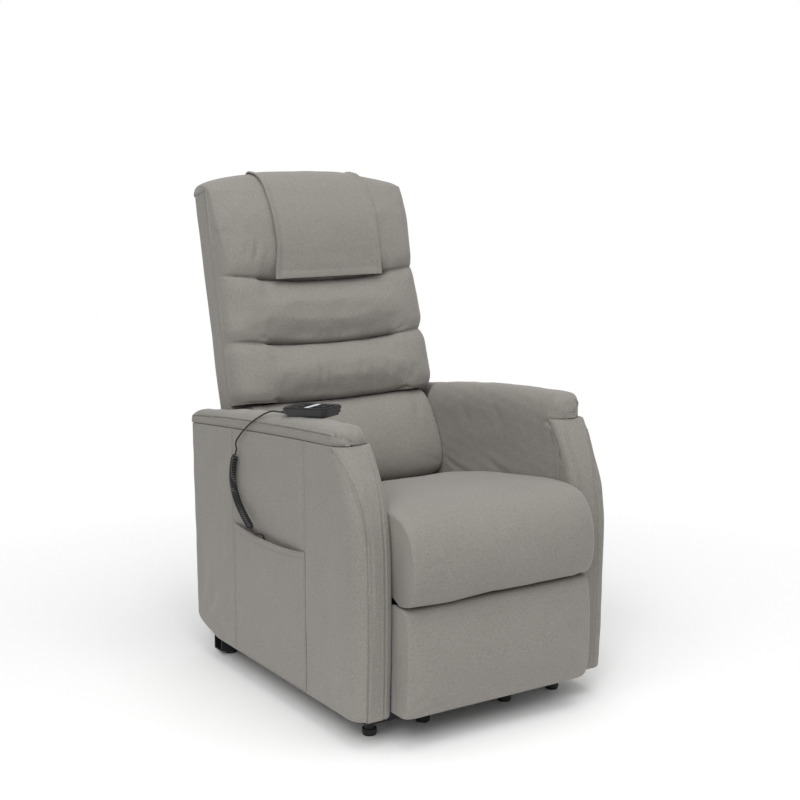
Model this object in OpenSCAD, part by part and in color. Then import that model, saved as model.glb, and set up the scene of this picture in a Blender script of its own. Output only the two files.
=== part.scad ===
// Lift recliner chair.
// The chair faces -Y, +Z is up and the floor is z = 0. The sitter's right is -X.
// A point written as [y, z] lies in the side view, and a hinge runs along X.

/* [Overall] */
// Width over both arms
width = 642; // [560:2:760]
// Width of an arm at its padded front post
arm_w = 84; // [72:1:100]
// Thickness of an arm behind the front post
arm_t = 51; // [44:1:62]
// Length of an arm from its rear to the foremost point of its front
arm_len = 767; // [700:1:800]
// Rear face of the arms, measured from the middle of the chair
arm_rear = 382; // [376:1:400]
// Height of an arm's underside above the floor
arm_bottom = 60; // [56:1:66]
// Height of the arm panel's top edge at the front
arm_top = 621; // [560:1:740]
// Drop of the arm panel's top edge from the front to the rear
arm_fall = 55; // [30:1:80]
// Height of the crown of the left arm pad over its panel
pad_crown = 58; // [40:1:70]
// Height of the crown of the right arm pad, which the handset and the arm press down
pad_crown_right = 41; // [36:1:66]

/* [Seat] */
// Underside of the seat cushion above the floor
deck_z = 318; // [316:1:322]
// Foremost point of the seat cushion's front roll
seat_front = -462; // [-480:1:-455]
// Rear end of the seat cushion
seat_rear = 104; // [60:1:106]
// Highest point of the seat cushion
seat_top = 497; // [440:1:560]
// Clearance of the seat cushion beside each arm
seat_gap = 3; // [2:0.5:8]

/* [Back rest] */
// Lean of the back rest from upright
back_lean = 13; // [11:0.5:16]
// Length of the back rest along its rear face, from its foot to the shell's top edge
back_len = 770; // [700:5:930]
// Thickness of the upholstered back shell
shell_t = 60; // [56:1:64]
// Clearance of the back rest beside each arm
back_gap = 3; // [2:0.5:8]
// Top of the lumbar roll along the back
lumbar_top = 262; // [250:1:275]
// Top of the middle roll along the back
middle_top = 408; // [395:1:430]
// Top of the upper roll along the back
upper_top = 566; // [540:1:590]
// Width of the head cover
cover_w = 284; // [240:1:360]
// How far the head cover lies to the sitter's left of the middle
cover_shift = 12; // [-20:1:20]
// Thickness of the head cover's cloth
cover_t = 3.5; // [3:0.5:5]
// Height at which the head cover ends in front, along the back
cover_front = 562; // [556:1:572]
// Height at which the head cover ends behind, along the back
cover_rear = 590; // [400:5:700]

/* [Steel frame] */
// Side of the square side rails of the floor frame
base_rail = 30; // [25:1:32]
// Side of the rear cross tube of the floor frame
rear_tube = 38; // [34:1:40]
// Height of the front cross tube of the floor frame
front_tube_h = 26; // [22:1:26]
// Depth of the front cross tube of the floor frame
front_tube_d = 24; // [20:1:30]
// Wall of every tube
tube_wall = 2; // [1.5:0.5:3]
// Thickness of the steel links and plates
plate_t = 5; // [4:0.5:5]
// Height of the seat's side rails
seat_rail_h = 30; // [25:1:34]
// Width of the seat's side rails
seat_rail_w = 20; // [15:1:20]
// Running clearance around each hinge pin
pin_gap = 0.1; // [0.05:0.05:0.2]
// Diameter of a front foot
foot_d = 31; // [26:1:36]
// Height of a front foot under its tube
foot_h = 24; // [20:1:26]
// Clear height under the rear cross tube
rear_foot_h = 11; // [8:1:14]

/* [Actuators] */
// Diameter of an actuator's outer tube
act_tube_d = 34; // [30:1:38]
// Diameter of an actuator's push rod
act_rod_d = 20; // [16:1:22]
// Diameter of an actuator's motor
act_motor_d = 42; // [36:1:44]
// Length of an actuator's motor beside its gearbox
act_motor_l = 72; // [55:1:78]
// Side offset of the back and footrest actuators from the middle
act_offset = 95; // [90:1:98]

/* [Footrest] */
// Height of the footrest pad
foot_pad_h = 234; // [200:1:234]
// Thickness of the footrest pad in its middle
foot_pad_t = 46; // [36:1:56]
// Thickness of the footrest's board
foot_board_t = 12; // [9:1:15]
// Gap between the footrest pad and the seat's front roll
foot_gap = 4; // [3:0.5:8]

/* [Handset] */
// Length of the handset
hand_l = 133; // [120:1:145]
// Width of the handset
hand_w = 60; // [52:1:64]
// Height of the handset
hand_h = 20; // [16:1:24]
// Turn of the handset on the arm pad
hand_turn = -75; // [-85:1:-65]
// Slope of the handset along its length: its front end is the higher one
hand_pitch = 5; // [3:0.5:6]
// Slope of the handset across its width: its inner side is the higher one
hand_roll = 4; // [2:0.5:6]
// Side of a handset button
button_w = 14; // [11:0.5:15]
// Travel of a handset button
button_travel = 1.2; // [0.8:0.1:1.5]
// Diameter of the handset's lead
lead_d = 3.8; // [3.4:0.1:4]
// Outer diameter of the curly cord
curl_d = 17; // [15:0.5:18]
// Number of curls in the curly cord
curls = 34; // [28:1:38]

/* [Side pocket] */
// Front end of the pocket, measured from the middle of the chair
pocket_front = -168; // [-210:1:-130]
// Rear end of the pocket, measured from the middle of the chair
pocket_rear = 160; // [140:1:210]
// Height of the pocket's mouth above the floor
pocket_top = 366; // [350:1:380]
// Height of the pocket's floor above the ground
pocket_floor = 120; // [90:1:160]
// Depth of the pocket inside the arm
pocket_deep = 20; // [14:1:22]
// Thickness of the pocket's cover
pocket_skin = 4; // [3:0.5:5]

/* [Hidden] */
$fn = 48;

// Across the chair, measured from its middle: each layer of the linkage has its own slot
inner_half = width / 2 - arm_w;
panel_in = width / 2 - arm_t;
seat_half = inner_half - seat_gap;
back_half = panel_in - back_gap;
rail_out = inner_half - 4;
rail_in = rail_out - seat_rail_w;
layer_gap = 2.5;
stab_out = rail_in - layer_gap;
link_out = stab_out - plate_t - layer_gap;
bracket_out = link_out - plate_t - 3;
base_out = bracket_out - plate_t;
swing_out = rail_in - 11;
foot_link_out = swing_out - plate_t - 4;
foot_bracket_out = foot_link_out - plate_t - 3;

// Side view pivots of the lift: the main link, the stabiliser and the actuator
lift_foot = [-60, 95];
lift_head = [250, 130];
stab_foot = [-140, 84.5];
stab_head = [65.75, 110];
lift_motor_at = [268, 110];
lift_eye_at = [-89, 158.7];
pin_r = 6;
torque_r = 9;
link_w = 28;
stab_slack = 1.8;

// Side view pivots of the back rest and its actuator
back_pivot = [225, 335];
back_motor_at = [-120, 215];
back_eye_at = [250.4, 269.8];
back_foot = [276, 345];

// Side view pivots of the footrest and its actuator
swing_foot = [-300, 262];
swing_head = [-290, 85];
board_pivot = [-365, 235];
guide_step = 40;
foot_motor_at = [-20, 230];
foot_eye_at = [-289.3, 223.5];
foot_pin_r = 4;
swing_w = 24;
foot_link_w = 14;
guide_foot = swing_head + guide_step * (swing_foot - swing_head) / norm(swing_foot - swing_head);
guide_head = board_pivot + guide_foot - swing_head;
swing_tube_at = swing_foot + 75 * (swing_head - swing_foot) / norm(swing_head - swing_foot);

// Floor frame
front_tube_y = -312;
rear_tube_y = 298;
base_rail_z = 20;
base_reach_front = inner_half + 22;
base_reach_rear = inner_half + 56;
front_foot_x = [inner_half + 7, inner_half - 128];
rear_foot_x = inner_half + 23;

// Seat frame
slat_t = 12;
rail_top = deck_z - slat_t;
rail_bottom = rail_top - seat_rail_h;
rail_front = -335;
rail_rear = 345;
cross_d = 24;
board_front_y = -400;
front_board_t = 15;
pad_top = deck_z - 14 - foot_gap;

// Actuator details
eye_r = 15;
eye_w = 18;
ear_gap = 2;
act_pin_r = 5;
eye_slack = 5;
gear_len = 50;
gear_from = 18;

// Outline of an arm's front edge: it stands furthest forward at arm_bulge_z and curves back above
arm_front = arm_rear - arm_len;
arm_bulge_z = 309;
arm_lean = 73;
arm_lean_power = 3.1;
arm_tuck = 8;
band_rear = -300;
function front_y(z) = arm_front + (z > arm_bulge_z
    ? arm_lean * pow((z - arm_bulge_z) / 300, arm_lean_power)
    : arm_tuck * pow((arm_bulge_z - z) / 254, 2));
// Height of the panel's top edge, along the arm
function under(y) = arm_top - arm_fall * pow((y - band_rear) / (arm_rear - band_rear), 1.25);

// Points of the back rest: x across, u up along the rear face, v forward from it
function on_back(x, u, v) = [x,
    back_foot[0] + u * sin(back_lean) - v * cos(back_lean),
    back_foot[1] + u * cos(back_lean) + v * sin(back_lean)];
// A value from -1 to 1 in steps that grow finer towards both ends
function spread(i, n) = sin(90 * (2 * i / n - 1));
// 1 in the middle of a cushion, falling to edge at its two ends
function crown(e, edge) = edge + (1 - edge) * pow(max(0, 1 - pow(abs(e), 4)), 0.5);
function mix(a, b, t) = a + (b - a) * t;

// ---------- shared shapes ----------

module both_sides() {
    children();
    mirror([1, 0, 0]) children();
}

// An outline of the side view, extruded across from x
module slab(x, thickness) {
    translate([x, 0, 0]) rotate([90, 0, 90]) linear_extrude(thickness) children();
}

// A bar with round ends from p to q in the side view; its web is a little narrower than its ends
bar_waist = 0.5;
module bar(p, q, w) {
    d = q - p;
    translate(p) circle(d = w);
    if (norm(d) > 0) {
        translate(q) circle(d = w);
        translate(p) rotate(atan2(d[1], d[0])) translate([0, bar_waist - w / 2])
            square([norm(d), w - 2 * bar_waist]);
    }
}

module pin(p, r, x0, x1) {
    translate([x0, p[0], p[1]]) rotate([0, 90, 0]) cylinder(r = r, h = x1 - x0);
}

module tube_across(x0, x1, y, z, d, h) {
    translate([x0, y, z]) difference() {
        cube([x1 - x0, d, h]);
        translate([-1, tube_wall, tube_wall]) cube([x1 - x0 + 2, d - 2 * tube_wall, h - 2 * tube_wall]);
    }
}

module tube_along(x, w, y0, y1, z, h) {
    translate([x, y0, z]) difference() {
        cube([w, y1 - y0, h]);
        translate([tube_wall, -1, tube_wall]) cube([w - 2 * tube_wall, y1 - y0 + 2, h - 2 * tube_wall]);
    }
}

module round_rect(l, w, r) {
    square([l, w - 2 * r], center = true);
    square([l - 2 * r, w], center = true);
    for (sx = [-1, 1], sy = [-1, 1]) translate([sx * (l / 2 - r), sy * (w / 2 - r)]) circle(r);
}

// Skin over a row of rings that all have the same number of points
module loft(rings) {
    n = len(rings[0]);
    last = (len(rings) - 1) * n;
    polyhedron(
        points = [for (ring = rings) each ring],
        faces = concat(
            [for (i = [1:n - 2]) [0, i, i + 1]],
            [for (k = [0:len(rings) - 2], i = [0:n - 1])
                let (a = k * n + i, b = k * n + (i + 1) % n)
                each [[a, a + n, b], [b, a + n, b + n]]],
            [for (i = [1:n - 2]) [last, last + i + 1, last + i]]));
}

// ---------- floor frame ----------

module base_side_rails() color([0.10, 0.10, 0.11]) both_sides()
    tube_along(base_out - base_rail, base_rail, front_tube_y + front_tube_d, rear_tube_y,
        base_rail_z, base_rail);

module base_front_tube() color([0.10, 0.10, 0.11])
    tube_across(-base_reach_front, base_reach_front, front_tube_y, foot_h, front_tube_d, front_tube_h);

module base_rear_tube() color([0.10, 0.10, 0.11])
    tube_across(-base_reach_rear, base_reach_rear, rear_tube_y, rear_foot_h, rear_tube, rear_tube);

// Plates on the side rails that carry the links, and ears on the rear tube for the lift actuator
module base_brackets() color([0.13, 0.13, 0.14]) {
    both_sides() {
        difference() {
            slab(base_out, plate_t) polygon([[-165, base_rail_z], [-10, base_rail_z],
                [-10, base_rail_z + base_rail], [-42, lift_foot[1] + 14], [-78, lift_foot[1] + 14],
                [-122, stab_foot[1] + 16], [-158, stab_foot[1] + 16]]);
            pin(lift_foot, torque_r + pin_gap, base_out - 1, bracket_out + 1);
        }
        pin(stab_foot, pin_r, bracket_out, stab_out + 2);
    }
    actuator_ears(lift_motor_at, 0) {
        polygon([[rear_tube_y, 14], [rear_tube_y, rear_foot_h + rear_tube], [rear_tube_y + 24,
            rear_foot_h + rear_tube], [lift_motor_at[0] + 12, lift_motor_at[1] + 8],
            [lift_motor_at[0] - 12, lift_motor_at[1] - 8]]);
    }
}

module front_foot(x) translate([x, front_tube_y + front_tube_d / 2, 0]) {
    cylinder(d1 = foot_d - 3, d2 = foot_d, h = 5);
    translate([0, 0, 5]) cylinder(d = foot_d, h = 9);
    translate([0, 0, 14]) cylinder(d = foot_d - 9, h = foot_h - 14);
}

module front_feet() color([0.06, 0.06, 0.06]) both_sides() for (x = front_foot_x) front_foot(x);

module rear_feet() color([0.06, 0.06, 0.06]) both_sides()
    translate([rear_foot_x, rear_tube_y + rear_tube / 2, 0]) {
        cylinder(d1 = foot_d - 3, d2 = foot_d, h = 4);
        translate([0, 0, 4]) cylinder(d = foot_d, h = rear_foot_h - 4);
    }

// ---------- lift linkage ----------

module lift_links() color([0.16, 0.16, 0.17]) both_sides() difference() {
    slab(link_out - plate_t, plate_t) bar(lift_foot, lift_head, link_w);
    pin(lift_head, pin_r + pin_gap, link_out - plate_t - 1, link_out + 1);
    pin(lift_foot, torque_r, link_out - plate_t - 1, link_out + 1);
}

// The torque tube joins both links and carries the lever that the lift actuator pushes
module lift_torque_tube() color([0.16, 0.16, 0.17]) {
    pin(lift_foot, torque_r, -link_out, link_out);
    lever_cheeks(lift_foot, lift_eye_at, 0, act_pin_r, 26);
}

module stabiliser_links() color([0.16, 0.16, 0.17]) both_sides() difference() {
    slab(stab_out - plate_t, plate_t) bar(stab_foot, stab_head, link_w);
    pin(stab_foot, pin_r + pin_gap, stab_out - plate_t - 1, stab_out + 1);
    pin(stab_head, pin_r + stab_slack, stab_out - plate_t - 1, stab_out + 1);
}

// ---------- actuators ----------

// Turns an actuator drawn along +Z from its rear eye at p towards q
module aim(p, q, x) {
    translate([x, p[0], p[1]]) rotate([atan2(p[0] - q[0], q[1] - p[1]), 0, 0]) children();
}

module eye_across(r, w) {
    rotate([0, 90, 0]) cylinder(r = r, h = w, center = true);
}

// Gearbox, motor and outer tube: tube_end is the tube's end and bore_from the depth of its bore
module actuator_body(p, q, x, tube_end, bore_from, motor_side) {
    aim(p, q, x) difference() {
        union() {
            eye_across(eye_r - 2, eye_w);
            translate([-eye_w / 2, -9, 0]) cube([eye_w, 18, gear_from + 1]);
            translate([-20, -22, gear_from]) cube([40, 44, gear_len]);
            translate([0, 0, gear_from + gear_len]) cylinder(d = act_tube_d + 6, h = 6);
            translate([0, 0, gear_from]) cylinder(d = act_tube_d, h = tube_end - 6 - gear_from);
            translate([0, 0, tube_end - 10]) cylinder(d = act_tube_d + 4, h = 10);
            translate([motor_side * 19, 0, gear_from + gear_len / 2]) rotate([0, motor_side * 90, 0]) {
                cylinder(d = act_motor_d, h = act_motor_l + 1);
                cylinder(d = act_motor_d - 14, h = act_motor_l + 5);
            }
        }
        eye_across(act_pin_r + pin_gap, eye_w + 2);
        translate([0, 0, bore_from]) cylinder(r = act_rod_d / 2 + pin_gap, h = tube_end);
    }
}

// Push rod with its end fitting: reach is the distance between the two eyes at rest
module actuator_rod(p, q, x, from, slot_h) {
    reach = norm(q - p);
    aim(p, q, x) difference() {
        union() {
            translate([0, 0, from]) cylinder(d = act_rod_d, h = reach - from - eye_r);
            translate([0, 0, reach - 30]) cylinder(d = act_rod_d - 4, h = 30);
            translate([-eye_w / 2, 0, reach]) rotate([90, 0, 90]) linear_extrude(eye_w)
                bar([-slot_h / 2, 0], [slot_h / 2, 0], 2 * eye_r);
        }
        translate([-eye_w / 2 - 1, 0, reach]) rotate([90, 0, 90]) linear_extrude(eye_w + 2)
            bar([-slot_h / 2, 0], [slot_h / 2, 0], 2 * (act_pin_r + eye_slack));
    }
}

// A pair of ears with a pin for an actuator's rear eye; the child is the ears' outline
module actuator_ears(p, x) {
    for (s = [-1, 1]) slab(x + s * (eye_w / 2 + ear_gap) - (s < 0 ? plate_t : 0), plate_t) union() {
        translate(p) circle(r = eye_r);
        children();
    }
    pin(p, act_pin_r, x - eye_w / 2 - ear_gap - plate_t, x + eye_w / 2 + ear_gap + plate_t);
}

// Two lever cheeks from a torque tube's axis p to the pin q of an actuator's rod
module lever_cheeks(p, q, x, r, w) {
    for (s = [-1, 1]) slab(x + s * (eye_w / 2 + ear_gap) - (s < 0 ? plate_t : 0), plate_t) bar(p, q, w);
    pin(q, r, x - eye_w / 2 - ear_gap - plate_t, x + eye_w / 2 + ear_gap + plate_t);
}

module lift_motor() color([0.12, 0.12, 0.13])
    actuator_body(lift_motor_at, lift_eye_at, 0, 262, 130, 1);

module lift_rod() color([0.72, 0.73, 0.74]) actuator_rod(lift_motor_at, lift_eye_at, 0, 150, 0);

module back_motor() color([0.12, 0.12, 0.13])
    actuator_body(back_motor_at, back_eye_at, act_offset, 292, 110, 1);

module back_rod() color([0.72, 0.73, 0.74]) actuator_rod(back_motor_at, back_eye_at, act_offset, 190, 0);

module foot_motor() color([0.12, 0.12, 0.13])
    actuator_body(foot_motor_at, foot_eye_at, -act_offset, 218, 80, -1);

module foot_rod() color([0.72, 0.73, 0.74]) actuator_rod(foot_motor_at, foot_eye_at, -act_offset, 95, 6);

// ---------- seat frame ----------

module seat_side_rails() color([0.13, 0.13, 0.14]) both_sides()
    tube_along(rail_in, seat_rail_w, rail_front, rail_rear, rail_bottom, seat_rail_h);

cross_tube_y = [back_motor_at[0] - cross_d / 2, foot_motor_at[0] - cross_d / 2, rail_rear - cross_d - 3];

module seat_cross_tubes() color([0.13, 0.13, 0.14]) for (y = cross_tube_y)
    tube_across(-rail_in, rail_in, y, rail_bottom, cross_d, cross_d);

// Plates welded to the side rails: for the lift, for the footrest and for the back rest
module seat_side_plates() color([0.15, 0.15, 0.16]) both_sides() {
    slab(rail_in, plate_t) polygon([[40, rail_bottom], [40, 100], [52, 92], [80, 92], [262, 112],
        [272, 122], [272, 160], [240, rail_bottom]]);
    pin(lift_head, pin_r, link_out - plate_t - 2, rail_in);
    pin(stab_head, pin_r, stab_out - plate_t, rail_in);
    slab(rail_in, plate_t) union() {
        translate(swing_foot) circle(r = rail_bottom - swing_foot[1]);
        polygon([[-330, rail_bottom], [-316, swing_foot[1]], [-284, swing_foot[1]], [-262, rail_bottom]]);
    }
    pin(swing_foot, pin_r, swing_out - plate_t - 1, rail_in);
    difference() {
        slab(rail_in, plate_t) union() {
            translate(back_pivot) circle(r = 20);
            polygon([[190, rail_top], [back_pivot[0] - 20, back_pivot[1]],
                [back_pivot[0] + 20, back_pivot[1]], [260, rail_top]]);
        }
        pin(back_pivot, pin_r + 2 + pin_gap, rail_in - 1, rail_in + plate_t + 1);
    }
}

module motor_hangers() color([0.15, 0.15, 0.16]) {
    actuator_ears(back_motor_at, act_offset)
        translate([back_motor_at[0] - 12, back_motor_at[1]]) square([24, rail_bottom - back_motor_at[1]]);
    actuator_ears(foot_motor_at, -act_offset)
        translate([foot_motor_at[0] - 12, foot_motor_at[1]]) square([24, rail_bottom - foot_motor_at[1]]);
}

slat_count = 7;
slat_w = 44;

module seat_slats() color([0.72, 0.58, 0.40]) for (i = [0:slat_count - 1])
    translate([-rail_out + 3, mix(rail_front + 6, seat_rear - slat_w, i / (slat_count - 1)), rail_top])
        cube([2 * rail_out - 6, slat_w, slat_t]);

module seat_front_board() color([0.72, 0.58, 0.40])
    translate([-rail_in, rail_front - front_board_t, rail_bottom])
        cube([2 * rail_in, front_board_t, deck_z - rail_bottom]);

module control_box() color([0.10, 0.10, 0.11]) {
    translate([-185, 262, rail_bottom - 38]) difference() {
        cube([120, 74, 38]);
        for (i = [0:2]) translate([18 + 32 * i, 64, 12]) cube([20, 11, 12]);
        translate([40, -1, 13]) rotate([-90, 0, 0]) cylinder(d = 12, h = 12);
    }
}

// ---------- arms, drawn on the left (+X) side ----------

// The rear edge stands further forward at its foot
rear_lean = 9;
front_steps = 12;
top_edge = [for (i = [0:4]) let (y = mix(band_rear, arm_rear, i / 4)) [y, under(y)]];

// The upholstered panel with its packing block onto the seat's side rail
module arm_panel() {
    slab(panel_in, arm_t) difference() {
        polygon(concat([[band_rear, arm_bottom]], top_edge, [[arm_rear - rear_lean, arm_bottom + 60],
            [arm_rear - rear_lean - 6, arm_bottom + 38], [arm_rear - rear_lean - 32, arm_bottom + 22],
            [arm_rear - 116, arm_bottom]]));
    }
    translate([rail_out, -250, rail_bottom - 4]) cube([panel_in - rail_out, 545, seat_rail_h + 8]);
}

mouth_flat = 26;
mouth_high = 84;

module arm_panel_left() color([0.52, 0.51, 0.49]) arm_panel();

// The right panel has the pocket, with a hollow above the mouth and a boss for the cord
module arm_panel_right() color([0.52, 0.51, 0.49]) {
    difference() {
        mirror([1, 0, 0]) arm_panel();
        translate([-width / 2 - 1, pocket_front, pocket_floor])
            cube([pocket_deep + pocket_skin + 1, pocket_rear - pocket_front, pocket_top - pocket_floor + 1]);
        translate([0, pocket_front, 0]) rotate([-90, 0, 0]) linear_extrude(pocket_rear - pocket_front)
            polygon([[-width / 2 - 1, -pocket_top], [-width / 2 + pocket_deep + pocket_skin, -pocket_top],
                [-width / 2 + pocket_deep + pocket_skin, -pocket_top - mouth_flat],
                [-width / 2, -pocket_top - mouth_high], [-width / 2 - 1, -pocket_top - mouth_high]]);
        translate([-width / 2 - 1, pocket_front, arm_bottom + 6])
            cube([pocket_skin + 1, pocket_rear - pocket_front, pocket_floor - arm_bottom]);
    }
    translate([tail_end[0] + tail_gap, tail_end[1], tail_end[2]]) rotate([0, 90, 0])
        cylinder(r = 6, h = pocket_deep + pocket_skin - (tail_end[0] + tail_gap + width / 2) + 1);
}

// Sewn cover of the pocket: its mouth dips in the middle
pocket_dip = 7;
mouth_r = 1390;
pocket_clear = 0.3;
module side_pocket() color([0.50, 0.49, 0.47]) difference() {
    translate([-width / 2, pocket_front + pocket_clear, arm_bottom + 6 + pocket_clear])
        cube([pocket_skin - pocket_clear, pocket_rear - pocket_front - 2 * pocket_clear,
            pocket_top - arm_bottom + 4]);
    translate([-width / 2 - 1, mix(pocket_front, pocket_rear, 0.58), pocket_top + mouth_r - pocket_dip])
        rotate([0, 90, 0]) cylinder(r = mouth_r, h = pocket_skin + 2, $fn = 96);
}

// The padded front post: its inner front corner is rounded, its outer one has a large soft radius
post_inner_r = 18;
post_outer_r = 38;
corner_steps = 4;
function corner(z, r) = min(r, 0.9 * (band_rear - front_y(z)));
function post_ring(z) = let (y = front_y(z), a = corner(z, post_inner_r), b = corner(z, post_outer_r))
    concat([[inner_half, band_rear, z]],
        [for (i = [0:corner_steps]) let (t = 90 * i / corner_steps)
            [inner_half + a * (1 - cos(t)), y + a * (1 - sin(t)), z]],
        [for (i = [corner_steps:-1:0]) let (t = 90 * i / corner_steps)
            [width / 2 - b * (1 - cos(t)), y + b * (1 - sin(t)), z]],
        [[width / 2, band_rear, z]]);
module arm_post() loft([for (i = [0:front_steps]) post_ring(mix(arm_bottom, arm_top, i / front_steps))]);

module arm_front_left() color([0.53, 0.52, 0.50]) arm_post();
module arm_front_right() color([0.53, 0.52, 0.50]) mirror([1, 0, 0]) arm_post();

// Padded inner face of an arm, which bulges to the seat between the front post and the back rest
inner_front = band_rear + 1;
inner_rear = 212;
inner_low = deck_z + 4;
inner_rings = 10;
inner_sides = 10;
module inner_arm() loft([for (i = [0:inner_rings])
    let (e = spread(i, inner_rings), y = mix(inner_front, inner_rear, (e + 1) / 2),
        high = under(y) - 1.5, deep = (panel_in - inner_half - 0.5) * crown(e, 0.72))
    [for (j = [0:inner_sides]) let (t = 180 * j / inner_sides)
        [panel_in - 0.3 - deep * pow(sin(t), 0.35), y, mix(inner_low, high, (1 - cos(t)) / 2)]]]);

module inner_arm_left() color([0.52, 0.51, 0.49]) inner_arm();
module inner_arm_right() color([0.52, 0.51, 0.49]) mirror([1, 0, 0]) inner_arm();

// Arm pad: it narrows behind, where the back rest passes between the arms
pad_rings = 14;
pad_sides = 10;
pad_front = -308;
pad_rear = arm_rear - 6;
function pad_inner(y) = y < 200 ? inner_half : mix(inner_half, panel_in + 2, min(1, (y - 200) / 24));
function pad_high(e, high) = high * (0.62 + 0.38 * cos(90 * (e + 0.35) / 1.35)) * crown(e, 0.6);
// Height of the right arm pad at a distance off from its middle line
function pad_at(y, off) = under(max(y, band_rear)) + 0.3
    + pad_high(2 * (y - pad_front) / (pad_rear - pad_front) - 1, pad_crown_right)
        * pow(1 - pow(min(1, abs(off) / (arm_w / 2)), 10 / 3), 0.225);
module arm_pad(high_most) loft([for (i = [0:pad_rings])
    let (e = spread(i, pad_rings), y = mix(pad_front, pad_rear, (e + 1) / 2),
        x0 = pad_inner(y), x1 = width / 2, high = pad_high(e, high_most))
    [for (j = [0:pad_sides]) let (t = 180 * j / pad_sides)
        [mix(x1, x0, (1 - sign(cos(t)) * pow(abs(cos(t)), 0.6)) / 2), y,
            under(max(y, band_rear)) + 0.3 + high * pow(sin(t), 0.45)]]]);

module arm_pad_left() color([0.54, 0.53, 0.51]) arm_pad(pad_crown);
module arm_pad_right() color([0.54, 0.53, 0.51]) mirror([1, 0, 0]) arm_pad(pad_crown_right);

module rear_panel() color([0.50, 0.49, 0.47])
    translate([-panel_in + 0.5, arm_rear - 30, 78]) cube([2 * panel_in - 1, 28, rail_top + 14 - 78]);

// ---------- cushions ----------

seat_rings = 14;
roll_low = deck_z - 14;
// Side outline of the seat cushion in its middle: deck, rear, top and front roll
seat_outline = [
    [-378, deck_z], [seat_rear, deck_z], [seat_rear + 3, deck_z + 60],
    [seat_rear - 6, seat_top - 75], [seat_rear - 40, seat_top - 55],
    [-60, seat_top - 31], [-200, seat_top - 11], [-300, seat_top - 1], [-370, seat_top],
    [seat_front + 47, seat_top - 11], [seat_front + 20, seat_top - 38], [seat_front + 4, seat_top - 78],
    [seat_front, seat_top - 122], [seat_front + 8, deck_z + 18], [seat_front + 28, roll_low + 2],
    [seat_front + 56, roll_low]
];
seat_anchor = [-170, deck_z];
module seat_cushion() color([0.53, 0.52, 0.50]) loft([for (i = [0:seat_rings])
    let (e = spread(i, seat_rings), k = crown(e, 0.9), f = crown(e, 0.92))
    [for (p = seat_outline) [e * seat_half, seat_anchor[0] + (p[0] - seat_anchor[0]) * f,
        seat_anchor[1] + (p[1] - seat_anchor[1]) * k]]]);

// One roll of the back: flat on the shell and bulging forward between its two channels
roll_rings = 12;
roll_sides = 10;
channel = 1;
module back_roll(low, high, deep_low, deep_high, half, sag_low, sag_high, edge)
    loft([for (i = [0:roll_rings])
        let (e = spread(i, roll_rings), k = crown(e, edge), hang = 1 - pow(e * half / back_half, 2),
            u0 = low + channel - sag_low * hang, u1 = high - channel - sag_high * hang)
        [for (j = [0:roll_sides]) let (t = 180 * j / roll_sides, f = (1 - cos(t)) / 2)
            on_back(e * half, mix(u0, u1, f),
                shell_t + 0.3 + mix(deep_low, deep_high, f) * k * pow(sin(t), 0.45))]]);

module lumbar_roll() color([0.53, 0.51, 0.49])
    back_roll(32, lumbar_top, 134, 84, seat_half - 2, 0, 9, 0.95);
module middle_roll() color([0.53, 0.51, 0.49])
    back_roll(lumbar_top, middle_top, 84, 70, back_half, 9, 18, 0.84);
module upper_roll() color([0.53, 0.51, 0.49])
    back_roll(middle_top, upper_top, 66, 60, back_half, 18, 23, 0.8);

// The head roll runs on over the top of the shell; outline from its inner corner, as [u, v]
head_deep = 66;
head_over = 51;
head_outline = [
    [back_len + 0.5, shell_t + 0.5], [upper_top + channel, shell_t + 0.5],
    [upper_top + 8, shell_t + 26], [upper_top + 32, shell_t + 50],
    [mix(upper_top, back_len, 0.36), shell_t + head_deep], [mix(upper_top, back_len, 0.66), shell_t + 62],
    [back_len - 30, shell_t + 48], [back_len, shell_t + 34], [back_len + 28, shell_t + 12],
    [back_len + 46, shell_t - 18], [back_len + head_over, shell_t - 30], [back_len + 40, 9],
    [back_len + 18, 0.5], [back_len + 0.5, 0]
];
head_sag = 23;
head_edge = 0.5;
function head_ring(e) = let (k = crown(e, head_edge), top = crown(e, 0.45))
    [for (p = head_outline) on_back(e * back_half,
        (p[0] > back_len ? back_len + (p[0] - back_len) * top : p[0])
            - (p[0] < back_len ? head_sag * (1 - e * e) * (back_len - p[0]) / (back_len - upper_top) : 0),
        p[1] > shell_t ? shell_t + (p[1] - shell_t) * k : p[1])];
module head_roll() color([0.53, 0.51, 0.49])
    loft([for (i = [0:roll_rings]) head_ring(spread(i, roll_rings))]);

// Head cover: a cloth that follows the head roll's face from its front hem over the top and down behind
cover_rings = 6;
cover_air = 0.6;
function side_view(p) = [p[1], p[2]];
function along(path, i) = let (d = path[min(i + 1, len(path) - 1)] - path[max(i - 1, 0)]) d / norm(d);
function cover_path(e) = let (ring = head_ring(e))
    concat([side_view(on_back(0, cover_front,
            shell_t + (head_outline[3][1] - shell_t) * crown(e, head_edge) - 2))],
        [for (i = [3:12]) side_view(ring[i])],
        [for (u = [back_len - 20, mix(back_len, cover_rear, 0.5), cover_rear]) side_view(on_back(0, u, 0))]);
function cover_ring(x) = let (path = cover_path(x / back_half))
    concat([for (i = [0:len(path) - 1]) let (d = along(path, i))
            [x, path[i][0] - d[1] * cover_air, path[i][1] + d[0] * cover_air]],
        [for (i = [len(path) - 1:-1:0]) let (d = along(path, i))
            [x, path[i][0] - d[1] * (cover_air + cover_t), path[i][1] + d[0] * (cover_air + cover_t)]]);
module head_cover() color([0.54, 0.52, 0.50])
    sheet_loft([for (i = [0:cover_rings]) cover_ring(cover_shift + cover_w * (i / cover_rings - 0.5))]);

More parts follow.
